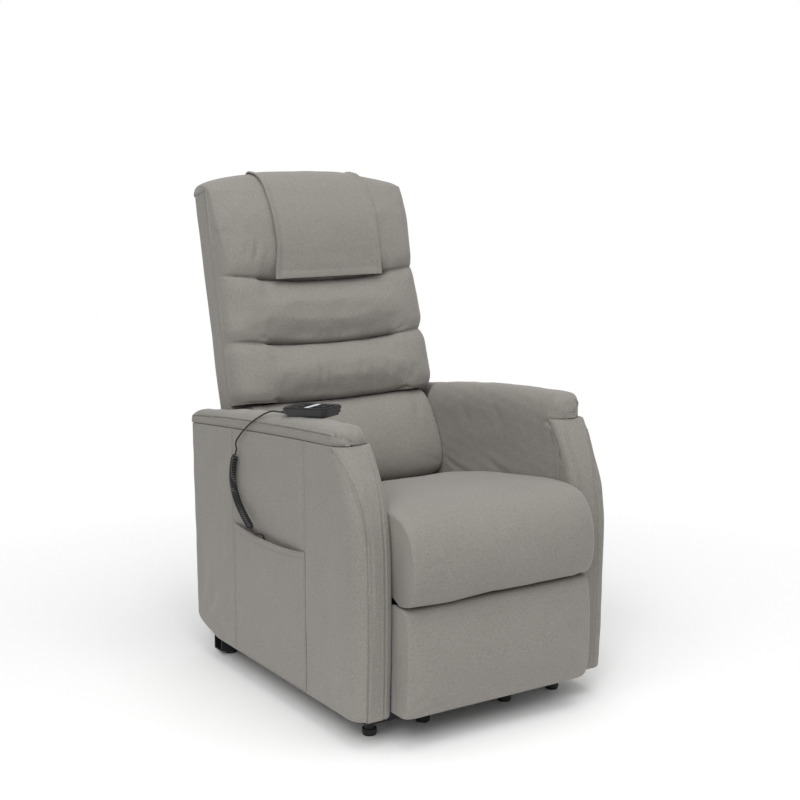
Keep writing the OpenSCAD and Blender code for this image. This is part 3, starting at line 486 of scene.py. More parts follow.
class Skin:
    """A grid of surface points that is shaped and then made a mesh."""

    def __init__(self, points: np.ndarray, wrap: bool = True) -> None:
        """Starts from rings of points in millimetres; wrap tells whether each ring closes on itself."""
        self.points = np.asarray(points, float)
        self.wrap = wrap

    def outward(self) -> np.ndarray:
        """Works out the outward direction at every point.

        Returns:
            Unit vectors on the grid.
        """
        along = np.gradient(self.points, axis=0)
        if self.wrap:
            round_ring = np.roll(self.points, -1, axis=1) - np.roll(self.points, 1, axis=1)
        else:
            round_ring = np.gradient(self.points, axis=1)
        way = unit(np.cross(along, round_ring))
        middle = self.points.mean(axis=(0, 1))
        return -way if np.sum(way * (self.points - middle)) < 0 else way

    def push(self, amount: np.ndarray) -> None:
        """Moves every point outwards by an amount."""
        self.points = self.points + self.outward() * np.asarray(amount)[..., None]

    def fold(self, folds: list) -> None:
        """Presses folds into the skin."""
        self.push(sum(one.push(self.points) for one in folds))

    def faces(self) -> list:
        """Lists the faces of the grid, with end caps where the rings close.

        Returns:
            Tuples of point numbers.
        """
        rings, n = self.points.shape[:2]
        last = n if self.wrap else n - 1
        faces = [
            (k * n + i, k * n + (i + 1) % n, (k + 1) * n + (i + 1) % n, (k + 1) * n + i)
            for k in range(rings - 1)
            for i in range(last)
        ]
        if self.wrap:
            faces += [tuple(range(n)), tuple(range((rings - 1) * n, rings * n))]
        return faces

    def build(self, name: str, finish: Finish, sharp: float = 0.0) -> bpy.types.Object:
        """Makes the object; sharp is the angle in degrees over which an edge stays sharp."""
        return make_object(name, self.points, self.faces(), finish, sharp)


class Stitching:
    """Rows of stitches that lie on a surface."""

    # Rings of one thread: share of its length, lift and width in radii; both ends dip into the cloth
    RINGS = ((0, -0.9, 0.55), (0.25, 0.25, 1.0), (0.75, 0.25, 1.0), (1, -0.9, 0.55))
    SIDES = 6

    def __init__(self, host: bpy.types.Object) -> None:
        """Prepares the surface.

        Args:
            host: The object that is stitched.
        """
        host.data.calc_loop_triangles()
        points = [v.co.copy() for v in host.data.vertices]
        self.tree = BVHTree.FromPolygons(points, [tuple(t.vertices) for t in host.data.loop_triangles])
        self.points: list = []
        self.faces: list = []

    def row(self, path: np.ndarray, pitch: float = 5.0, long: float = 3.4, thick: float = 0.75) -> None:
        """Lays one row of stitches.

        Args:
            path: Points of the seam in millimetres.
            pitch: Distance from one stitch to the next.
            long: Length of a stitch.
            thick: Diameter of the thread.
        """
        length = distances(path)
        for start in np.arange(pitch / 2, length[-1] - long, pitch):
            ends = []
            for s in (start, start + long / 2, start + long):
                spot = Vector([float(np.interp(s, length, path[:, k])) * MM for k in range(3)])
                near, way, _, _ = self.tree.find_nearest(spot)
                if near is not None:
                    ends.append((np.array(near) / MM, np.array(way)))
            if len(ends) == 3:
                self.stitch(ends, thick / 2)

    def stitch(self, ends: list, r: float) -> None:
        """Adds one stitch.

        Args:
            ends: Three pairs of surface point and surface direction.
            r: Radius of the thread.
        """
        (first, up_0), (middle, _), (last, up_1) = ends
        line = unit(last - first)
        base, n = len(self.points), self.SIDES
        for share, lift, width in self.RINGS:
            spot = mix(first, last, share)
            if 0 < share < 1:
                spot = mix(spot, middle, 0.5)
            up = unit(mix(up_0, up_1, share))
            side = unit(np.cross(line, up))
            for k in range(n):
                a = 2 * math.pi * k / n
                rise = (math.sin(a) * width + lift) * r
                self.points.append(spot + rise * up + math.cos(a) * width * r * side)
        last_ring = base + n * (len(self.RINGS) - 1)
        for ring in range(base, last_ring, n):
            for i in range(n):
                j = (i + 1) % n
                self.faces.append((ring + i, ring + j, ring + n + j, ring + n + i))
        self.faces += [tuple(range(base, base + n)), tuple(range(last_ring, last_ring + n))]

    def build(self, name: str, body: str) -> None:
        """Makes the stitches one object that moves with a body."""
        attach(make_object(name, np.array(self.points), self.faces, Palette.thread), body)


@dataclass(frozen=True)
class Swelling:
    """Lets the cover of a cushion swell under air pressure in a cloth simulation."""

    # How far the cover comes out and at most may, and the percentile of the points that this counts for
    target: float
    cap: float = 24.0
    share: float = 96.0
    voxel: float = 8.0
    frames: int = 20
    neighbours: int = 6

    def simulate(self, obj: bpy.types.Object, hold: Hold) -> tuple[np.ndarray, np.ndarray]:
        """Runs the simulation on an evenly meshed copy of the cover.

        Args:
            obj: The cover.
            hold: Tells how firmly points in millimetres are held.

        Returns:
            The copy's points before and after, in millimetres.
        """
        twin = bpy.data.objects.new("swelling", obj.data.copy())
        scene = bpy.context.scene
        scene.collection.objects.link(twin)
        select(twin)
        remesh = twin.modifiers.new("even", "REMESH")
        remesh.mode = "VOXEL"
        remesh.voxel_size = self.voxel * MM
        bpy.ops.object.modifier_apply(modifier=remesh.name)
        before = np.array([v.co[:] for v in twin.data.vertices]) / MM
        group = twin.vertex_groups.new(name="held")
        firm = np.round(hold(before), 1)
        for level in np.unique(firm[firm > 0]):
            group.add(np.flatnonzero(firm == level).tolist(), float(level), "REPLACE")
        cloth = twin.modifiers.new("cloth", "CLOTH").settings
        cloth.quality = 5
        cloth.mass = 0.3
        cloth.tension_stiffness = cloth.compression_stiffness = 12.0
        cloth.shear_stiffness = 4.0
        cloth.bending_stiffness = 0.4
        cloth.use_pressure = True
        cloth.uniform_pressure_force = 4.0
        cloth.effector_weights.gravity = 0.0
        cloth.vertex_group_mass = group.name
        for number in range(1, self.frames + 1):
            scene.frame_set(number)
        moved = twin.evaluated_get(bpy.context.evaluated_depsgraph_get())
        after = np.array([v.co[:] for v in moved.to_mesh().vertices]) / MM
        moved.to_mesh_clear()
        bpy.data.objects.remove(twin)
        scene.frame_set(1)
        return before, after

    def apply(self, obj: bpy.types.Object, hold: Hold) -> None:
        """Moves the cover by the simulated swelling, scaled to the wanted fullness.

        Args:
            obj: The cover.
            hold: Tells how firmly points in millimetres are held.
        """
        before, after = self.simulate(obj, hold)
        move = after - before
        far = float(np.percentile(np.linalg.norm(move, axis=1), self.share))
        LOG.info("%s: cloth of %d points swells by %.1f mm", obj.name, len(before), far)
        if not 0.2 < far < 400:  # the cloth hardly moved, or it burst
            return
        move *= min(self.target, self.cap) / far
        size = np.linalg.norm(move, axis=1, keepdims=True)
        move *= np.minimum(1, 1.25 * self.target / np.maximum(size, 1e-9))
        tree = KDTree(len(before))
        for i, co in enumerate(before):
            tree.insert(Vector(co), i)
        tree.balance()
        points = np.array([v.co[:] for v in obj.data.vertices]) / MM
        firm = hold(points)
        for i, co in enumerate(points):
            near = tree.find_n(Vector(co), self.neighbours)
            weight = np.array([1 / (1.5 + n[2]) ** 2 for n in near])
            points[i] = co + (1 - firm[i]) * (weight @ move[[n[1] for n in near]]) / weight.sum()
        obj.data.vertices.foreach_set("co", (points * MM).ravel())
        obj.data.update()


# ---------- arms ----------


@dataclass
class Arm:
    """One upholstered arm: its panel with the front band, and its pad that runs down into the inner side."""

    side: int
    name: str
    crest: float
    outer: float = 321.0
    inner: float = 237.0
    panel_in: float = 270.0
    rear: float = 382.0
    low: float = 60.0
    top: float = 621.0
    fall: float = 55.0
    band: float = -300.0
    front: float = -385.0
    outer_r: float = 38.0
    inner_r: float = 22.0
    rear_r: float = 12.0
    full_z: float = 309.0
    join: float = -325.0
    post: float = 24.0
    pad_front: float = -306.0
    pad_rear: float = 376.0
    pad_round: float = 36.0
    pad_foot: float = 322.0
    pad_bow: tuple = (0.6, 0.45)
    gusset: float = 20.0
    plain_front: bool = False
    front_seam: tuple = (
        (237, -296, 560), (237, -296, 618), (240, -301, 640), (252, -302, 655), (270, -302, 661),
        (292, -301, 660), (308, -296, 650),
    )
    seam_y: tuple = (160.0, -168.0)
    pocket: tuple = (-168.0, 160.0, 366.0)

    def front_y(self, z: Num) -> Num:
        """Foremost y of the arm at a height; it leans back above its fullest height and below it."""
        above, below = np.maximum(z - self.full_z, 0) / 300, np.maximum(self.full_z - z, 0) / 254
        return self.front + np.where(z > self.full_z, 73 * above**3.1, 8 * below**2)

    def under(self, y: Num) -> Num:
        """Height of the panel's top edge at a place along the arm."""
        return self.top - self.fall * (np.maximum(y - self.band, 0) / (self.rear - self.band)) ** 1.25

    def shift(self, y: Num, z: Num) -> Num:
        """Moves a place y of the plan at the arm's fullest height to the height z."""
        return y + (self.front_y(z) - self.front) * smooth(y, -190, -345)

    def plan(self) -> np.ndarray:
        """Draws the plan of the panel at its fullest height, from the outer rear corner round the front.

        Returns:
            Rows of x, y and a flag that is 1 on the inner side of the post.
        """
        r, q, c = self.outer_r, self.inner_r, self.rear_r
        rows = arc(self.outer - c, self.rear - c, c, np.linspace(90, 0, 6))
        rows += [(self.outer, y) for y in graded(self.front + r, self.rear - c, 8.0, self.seam_y)[::-1][1:]]
        marks = tuple(math.radians(a) for a in (34, 54, 66, 71))
        turns = np.degrees(graded(0, math.pi / 2, 2.6 / r, marks, 0.8 / r, 6 / r))
        rows += arc(self.outer - r, self.front + r, r, -turns[1:])
        xs = graded(self.inner + q, self.outer - r, 4.0, (self.inner + 19,), 0.7)
        rows += [(x, self.front) for x in xs[::-1][1:]]
        rows += arc(self.inner + q, self.front + q, q, np.linspace(-90, -180, 11)[1:])
        count = len(rows)
        rows += [(self.inner, y) for y in graded(self.front + q, self.join, 5.0, (self.join,))[1:]]
        rows += [(x, self.join + 1) for x in np.linspace(self.inner, self.panel_in, 6)[1:]]
        rows += [(self.panel_in, y) for y in np.linspace(self.join + 1, self.rear - 8, 24)[1:]]
        rows += [(x, self.rear) for x in np.linspace(self.panel_in, self.outer - c, 6)[1:-1]]
        return np.column_stack([np.array(rows), np.arange(len(rows)) >= count])

    def outer_seam(self, z: np.ndarray) -> np.ndarray:
        """Line of the front band's outer seam: on the front face below, on the outer side at the top.

        Args:
            z: Heights.

        Returns:
            Its points on the left arm.
        """
        inset = np.interp(z, [60, 430, 500, 550, 592, 614], [26, 26, 22.5, 15.5, 6, 0.5])
        share = np.clip(1 - inset / self.outer_r, 0, 1)
        y = self.shift(self.front + self.outer_r * (1 - np.sqrt(1 - share**2)), z)
        return spots(self.outer - inset, y, z)

    def inner_seam(self, z: np.ndarray) -> np.ndarray:
        """Line of the front band's inner seam on the front face, as points on the left arm."""
        x = np.interp(z, [60, 300, 470, 553, 606], [256, 257, 257, 251.5, 253])
        return spots(x, self.front_y(z), z)

    def shell(self) -> None:
        """Makes the panel and the front band as one cover."""
        levels = graded(0, 1, 0.014, (0.0, 1.0), 0.002, 0.03)[:, None]
        x, y, flag = (np.repeat(row[None], len(levels), 0) for row in self.plan().T)
        inside = flag > 0
        top = self.under(self.shift(y, 600.0)) - 1.5
        foot = np.interp(y, [264, 341, 362, 372, 382], [60, 76, 84, 92, 100])
        z = foot + levels * (top - foot)
        step = np.maximum(self.join, self.front_y(z) + self.post)
        moved = self.shift(y, z) - 9 * smooth(y, 250, 382) * smooth(z, 560, 130)
        moved = np.where(inside & (y < self.join + 2), np.minimum(moved, step), moved)
        moved = np.where(inside & (y >= self.join), np.maximum(moved, step), moved)
        points = spots(x, moved, z)
        soft = rounding(z - foot, 6.0) + rounding(top - z, 1.6)
        points[..., 0] -= np.sign(points[..., 0] - (self.outer + self.panel_in) / 2) * soft
        skin = Skin(points)
        outside = (points[..., 0] > self.outer - self.outer_r) & ~inside
        puff = outside * uneven(points, (1.5, 210, 11 + self.side), (0.6, 60, 5))
        band = smooth(y, self.front + 40, self.front + 4) * ~inside
        puff += band * 0.5 * ripple(points, 120, 15 + self.side)
        skin.push(puff * smooth(np.minimum(z - foot, top - z), 0, 60))
        skin.fold(self.shell_folds())
        if self.side < 0:
            skin.points[..., 0] -= self.recess(skin.points)
        skin.points[..., 0] *= self.side
        obj = skin.build(f"{self.name}_arm_cover", Palette.cloth)
        dress(obj, "carriage", (f"arm_panel_{self.name}", f"arm_front_{self.name}"))
        self.shell_stitches(obj)

    def shell_stitches(self, obj: bpy.types.Object) -> None:
        """Sews the seams of the panel and of the front band.

        Args:
            obj: The cover.
        """
        rows = Stitching(obj)
        mirror = np.array([self.side, 1, 1])
        heights = np.linspace(self.low + 8, 600, 90)
        for seam in (self.outer_seam(heights), self.inner_seam(heights)):
            for off in (-4.2, 4.2):
                rows.row((seam + [off, 0.3 * abs(off), 0]) * mirror)
        for y0 in self.seam_y:
            line = np.linspace(66, self.under(y0) - 6, 60)
            off = 5 if self.side > 0 or y0 > 0 else -5
            rows.row(spots(self.outer, y0 + off, line) * mirror)
        line = np.linspace(90, 545, 80)
        for back, behind in ((self.join - 5, self.post), (self.join - 15, 14)):
            rows.row(spots(self.inner, np.maximum(back, self.front_y(line) + behind), line) * mirror)
        rows.build(f"{self.name}_arm_stitches", "carriage")

    def shell_folds(self) -> list:
        """Lists the seams and soft creases of the panel, drawn on the left arm.

        Returns:
            The folds.
        """
        outer, inner = (np.linspace(self.low, high, 40) for high in (614, 606))
        out = [Fold(line, 1.8, 2.6, 0.45, False) for line in (self.outer_seam(outer), self.inner_seam(inner))]
        for y0 in self.seam_y:
            line = ((self.outer, y0, 60), (self.outer, y0, float(self.under(y0))))
            out.append(Fold(line, 1.6, 2.0, 0.5, False))
        return out + [
            Fold(((321, 340, 100), (321, 290, 140), (321, 262, 200)), 16, 2.4),
            Fold(((321, 352, 300), (321, 326, 210), (321, 341, 120)), 18, 2.0),
            Fold(((321, 205, 80), (321, 245, 112), (321, 300, 106)), 12, 1.8),
            Fold(((321, -250, 150), (321, -266, 260), (321, -244, 400)), 26, 2.0),
            Fold(((321, -190, 520), (321, -236, 485), (321, -285, 500)), 16, 1.8),
            Fold(((321, 150, 520), (321, 60, 500), (321, -60, 520)), 22, 1.8),
            Fold(((321, 200, 560), (321, 240, 480), (321, 250, 380)), 26, 1.6),
            Fold(((321, -200, 100), (321, -240, 120), (321, -300, 90)), 14, 1.8),
            Fold(((318, -330, 560), (310, -352, 520), (300, -368, 470)), 9, 1.4),
        ]

    def recess(self, points: np.ndarray) -> np.ndarray:
        """Depth by which the panel lies back behind the pocket's cover and its mouth.

        Args:
            points: Points of the panel.

        Returns:
            The inward moves.
        """
        y0, y1, top = self.pocket
        x, y, z = points[..., 0], points[..., 1], points[..., 2]
        within = smooth(y, y0 - 0.5, y0 + 2) * smooth(y, y1 + 0.5, y1 - 2)
        bow = np.sin(np.pi * np.clip((y - y0) / (y1 - y0), 0, 1)) ** 0.6
        below = smooth(z, 65, 68) * smooth(z, top + 8, top - 10)
        slack = smooth(z, 110, 150) * smooth(z, top + 78, top - 4)
        return (x > self.outer - 30) * within * (5.5 * below + 9.5 * bow * slack)

    def pad_high(self, y: Num) -> Num:
        """Height of the pad's crest over the panel.

        Args:
            y: Place along the arm.

        Returns:
            The height.
        """
        e = (2 * (y - self.pad_front) / (self.pad_rear - self.pad_front)) - 1
        full = self.crest * (0.70 + 0.30 * np.cos(np.radians(90 * (e + 0.35) / 1.35)))
        rear = 1 - 0.4 * (1 - np.sqrt(np.clip(1 - np.clip((e - 0.9) / 0.1, 0, 1) ** 2, 0, 1)))
        near = np.clip((y - self.pad_front) / 30, 0, 1)
        return full * rear * (0.34 + 0.66 * np.sqrt(1 - (1 - near) ** 2))

    def pad(self) -> None:
        """Makes the pad and the inner side of the arm as one cover, with the gathered front end."""
        y0, y1 = self.pad_front, self.pad_rear
        ys = graded(y0, y1, 5.5, (y0, y0 + 10, y1, 212), 0.8, 24)[:, None]
        inner = mix(self.inner, self.panel_in + 2, smooth(ys, 198, 224))
        half = (self.outer - inner) / 2
        crest_x = (self.outer + inner) / 2
        base = self.under(np.maximum(ys, self.band)) + GAP
        high = self.pad_high(ys)
        # Each ring runs over both sides of the crest, down the face, up its back and along the underside
        t = np.radians(graded(0, 90, 3.0, (14.0,), 0.6, 8))[None, :]
        out_x = crest_x + half * np.cos(t) ** self.pad_bow[0]
        out_z = base + high * np.sin(t) ** self.pad_bow[1]
        a = np.radians(np.linspace(0, 90, 26))[None, 1:]
        joint = base + high - np.minimum(high + 18, 66) * smooth(ys, 216, 196) - high * smooth(ys, 196, 216)
        in_x = crest_x - half * np.sin(a) ** 0.82
        in_z = joint + (base + high - joint) * np.cos(a) ** 0.82
        foot = mix(self.pad_foot, base - 5, smooth(ys, 209, 216))
        face_z = mix(joint, foot, np.linspace(0, 1, 48)[None, 1:])
        over = np.clip((face_z - foot) / 34, 0, 1)
        deep = np.maximum(self.panel_in - GAP - inner, 0)
        face_x = self.panel_in - GAP - deep * np.sqrt(1 - (1 - over) ** 2.4)
        face_x = face_x + (inner - self.panel_in + GAP + deep)
        back_x = np.ones((len(ys), 1)) * self.panel_in - GAP
        back_z = mix(foot, base, np.linspace(0, 1, 12)[None, 1:])
        under_x = mix(back_x, self.outer, np.linspace(0, 1, 8)[None, 1:-1])
        x = np.concatenate([out_x, in_x, face_x, back_x * np.ones_like(back_z), under_x], axis=1)
        z = np.concatenate([out_z, in_z, face_z, back_z, base * np.ones_like(under_x)], axis=1)
        y = ys * np.ones_like(x)
        # The front end is rounded in plan, and its lower part lies against the panel's post
        r = self.pad_round
        inset = r - np.sqrt(np.clip(r * r - np.clip(r - (y - y0), 0, r) ** 2, 0, None))
        hold = np.where(x > crest_x, 1.0, smooth(z, 600, 624))
        x = x - np.sign(x - crest_x) * inset * hold * np.clip(np.abs(x - crest_x) / half, 0, 1) ** 2
        wall = np.maximum(self.join, self.front_y(z) + self.post) + 3.5 - y0
        y = y + wall * smooth(z, 622, 610) * smooth(y, -215, y0)
        skin = Skin(spots(x, y, z))
        shown = np.zeros_like(x)
        shown[:, 3 : out_x.shape[1] + in_x.shape[1] + face_x.shape[1] - 6] = 1
        skin.push(shown * uneven(skin.points, (1.2, 110, 31 + self.side), (0.5, 36, 9)))
        skin.fold(self.pad_folds())
        skin.points[..., 0] *= self.side
        obj = skin.build(f"{self.name}_arm_pad_cover", Palette.cloth)
        dress(obj, "carriage", (f"arm_pad_{self.name}", f"inner_arm_{self.name}"))
        rows = Stitching(obj)
        rows.row(self.pad_seam() * np.array([self.side, 1, 1]) + np.array([0, 0, 3.6]))
        if self.plain_front:
            line = np.linspace(400, 610, 70)
            for back in (-311, -304):
                rows.row(spots(self.inner, np.maximum(back, self.front_y(line) + 36), line))
            rows.row(curve(self.front_seam, 12) + [0, 3, 3])
        rows.build(f"{self.name}_arm_pad_stitches", "carriage")

    def pad_seam(self) -> np.ndarray:
        """Line of the seam over the pad's gusset, on the left arm.

        Returns:
            Its points.
        """
        ys = np.linspace(self.pad_front + 4, self.rear - 14, 70)
        high = self.pad_high(ys)
        rise = np.minimum(self.gusset, high * 0.55)
        t = np.arcsin(np.clip((rise / high) ** (1 / self.pad_bow[1]), 0, 1))
        x = mix(self.outer, self.inner, (1 - np.cos(t) ** self.pad_bow[0]) / 2)
        return spots(x, ys, self.under(ys) + GAP + rise)

    def pad_folds(self) -> list:
        """Lists the seam, the pleats of the front end and the creases of the inner side, on the left arm.

        Returns:
            The folds.
        """
        top = self.top + self.crest
        pleats = [
            Fold(((303, -302, 636), (298, -284, top - 14), (292, -246, top - 4)), 4.5, 2.8),
            Fold(((286, -303, 636), (282, -284, top - 12), (278, -250, top)), 4.0, 2.6),
            Fold(((262, -309, 632), (262, -288, top - 14), (266, -256, top - 2)), 4.0, 3.0),
            Fold(((246, -306, 628), (247, -286, top - 22), (252, -262, top - 8)), 4.0, 2.4),
            Fold(((314, -292, 634), (312, -280, 646), (306, -262, top - 18)), 3.5, 1.8),
        ]
        seam = [Fold(curve(self.front_seam, 4), 1.8, 2.6, 0.6, False)]
        return [
            Fold(self.pad_seam(), 1.6, 2.2, 0.75, False),
            *(seam if self.plain_front else pleats),
            Fold(((237, 136, 468), (237, 68, 446), (237, -19, 436)), 6, 3.0),
            Fold(((237, -47, 488), (237, -109, 470), (237, -189, 460)), 8, 2.4),
            Fold(((246, -60, 640), (240, -90, 600), (237, -120, 560)), 14, 1.3),
            Fold(((246, 60, 620), (240, 40, 590), (237, 20, 560)), 14, 1.3),
        ]

    def build(self) -> None:
        """Makes the whole arm."""
        self.shell()
        self.pad()


@dataclass
class SidePocket:
    """Sewn cover of the pocket on the outer side of the right arm."""

    front: float = -167.6
    rear: float = 159.6
    low: float = 66.5
    top: float = 366.0
    dip: float = 7.0
    thick: float = 2.4
    hem: float = 15.0
    face: float = -320.6
    flat_high: float = 0.315

    def mouth(self, y: Num) -> Num:
        """Height of the mouth at a place along it."""
        return self.top - self.dip + (y - 22) ** 2 / 2780 + 1.2

    def build(self) -> None:
        """Makes the cover with its hem."""
        y = graded(self.front, self.rear, 7.0, (self.front, self.rear), 1.0, 12)[:, None]
        levels = graded(0, 1, 0.03, (0.0, 1.0, 0.94), 0.003, 0.03)
        z = self.low + levels[None, :] * (self.mouth(y) - self.low)
        y = np.repeat(y, len(levels), 1)
        below = self.mouth(y) - z
        bow = np.sin(np.pi * np.clip((y - self.front) / (self.rear - self.front), 0, 1)) ** 0.7
        slack = bow * smooth(below, 160, 0) ** 2 * 3.2 + bow * 1.2 * smooth(z, 66, 125)
        forward = smooth(y, 60, -110) * smooth(y, self.front, -120) * smooth(below, 70, 0) * 2.2
        soft = uneven(spots(0, y, z), (0.7, 90, 41), (0.3, 30, 42)) * bow
        hem = 0.9 * smooth(below, self.hem, self.hem - 2)
        face = self.face - slack - forward - soft - hem
        back = face + self.thick + 1.4 * hem
        face += 0.9 * (np.exp(-((below - self.hem) / 1.2) ** 2))
        obj = Skin(closed(spots(face, y, z), spots(back, y, z))).build("side_pocket_cover", Palette.cloth, 60)
        dress(obj, "carriage", ("side_pocket",))
        rows = Stitching(obj)
        line = np.linspace(self.front + 3, self.rear - 3, 60)
        for drop in (2.5, self.hem - 2):
            rows.row(spots(-325, line, self.mouth(line) - drop))
        for y0 in (self.front + 4, self.rear - 4):
            rows.row(spots(-322, y0, np.linspace(69, self.mouth(y0) - 6, 40)))
        rows.build("side_pocket_stitches", "carriage")


# ---------- cushions ----------


@dataclass
class SeatCushion:
    """The seat cushion with its front roll."""

    half: float = 236.0
    anchor: tuple = (-170.0, 318.0)
    outline: tuple = (
        (-378, 318), (-250, 318), (-100, 318), (20, 318), (92, 318), (104, 322), (107, 345), (107, 378),
        (104, 402), (96, 424), (64, 442), (0, 455), (-60, 466), (-130, 477), (-200, 486), (-250, 492),
        (-300, 496), (-340, 498), (-370, 497), (-398, 492), (-420, 482), (-438, 465), (-450, 444),
        (-458, 419), (-462, 390), (-462, 365), (-458, 342), (-450, 322), (-438, 309), (-420, 304),
        (-406, 304),
    )
    folds: tuple = (
        Fold(((-232, -150, 474), (-200, -170, 484), (-150, -205, 488)), 11, 3.0),
        Fold(((-232, -60, 460), (-190, -90, 470), (-140, -110, 474)), 12, 3.0),
        Fold(((-234, -425, 322), (-205, -446, 330), (-170, -457, 345)), 5, 3.2),
        Fold(((-234, -440, 352), (-214, -452, 350), (-190, -459, 356)), 4, 2.4),
        Fold(((-232, -430, 380), (-200, -452, 392), (-160, -460, 400)), 8, 2.2),
        Fold(((232, -418, 325), (205, -444, 330), (165, -456, 342)), 6, 2.4),
        Fold(((232, -400, 312), (212, -428, 310), (185, -440, 314)), 5, 2.2),
        Fold(((232, -250, 476), (190, -260, 484), (130, -290, 490)), 14, 2.0),
    )

    def held(self, p: np.ndarray) -> np.ndarray:
        """Tells how firmly points are held: at the sides, below, at the back and behind the front roll.

        Args:
            p: Points in millimetres.

        Returns:
            1 where the cover is held fast and 0 where it's free.
        """
        x, y, z = p.T
        sides = smooth(np.abs(x), 222, 236) + smooth(z, 330, 312) + smooth(y, 40, 80)
        return np.clip(sides + (y > -395) * smooth(z, 400, 350), 0, 1)

    def build(self) -> None:
        """Makes the cushion."""
        path = curve(self.outline, 6)
        xs = across(self.half, 7.5, 0.6, 30)
        e = xs / self.half
        k = crown(e, 0.93, 9.0) * (1 - 0.034 * (1 - e * e))
        f = np.where(e < 0, crown(e, 0.98, 14.0), crown(e, 0.935, 6.0))
        y = self.anchor[0] + (path[None, :, 0] - self.anchor[0]) * f
        z = self.anchor[1] + (path[None, :, 1] - self.anchor[1]) * k
        skin = Skin(spots(xs, y, z))
        free = np.clip(smooth(z, 330, 400) + smooth(-y, 380, 430), 0, 1) * smooth(np.abs(e), 1.0, 0.9)
        skin.push(free * uneven(skin.points, (1.6, 170, 51), (0.5, 55, 52)))
        skin.fold(self.folds)
        obj = skin.build("seat_cushion_cover", Palette.cloth)
        Swelling(6.0).apply(obj, self.held)
        dress(obj, "carriage", ("seat_cushion",))


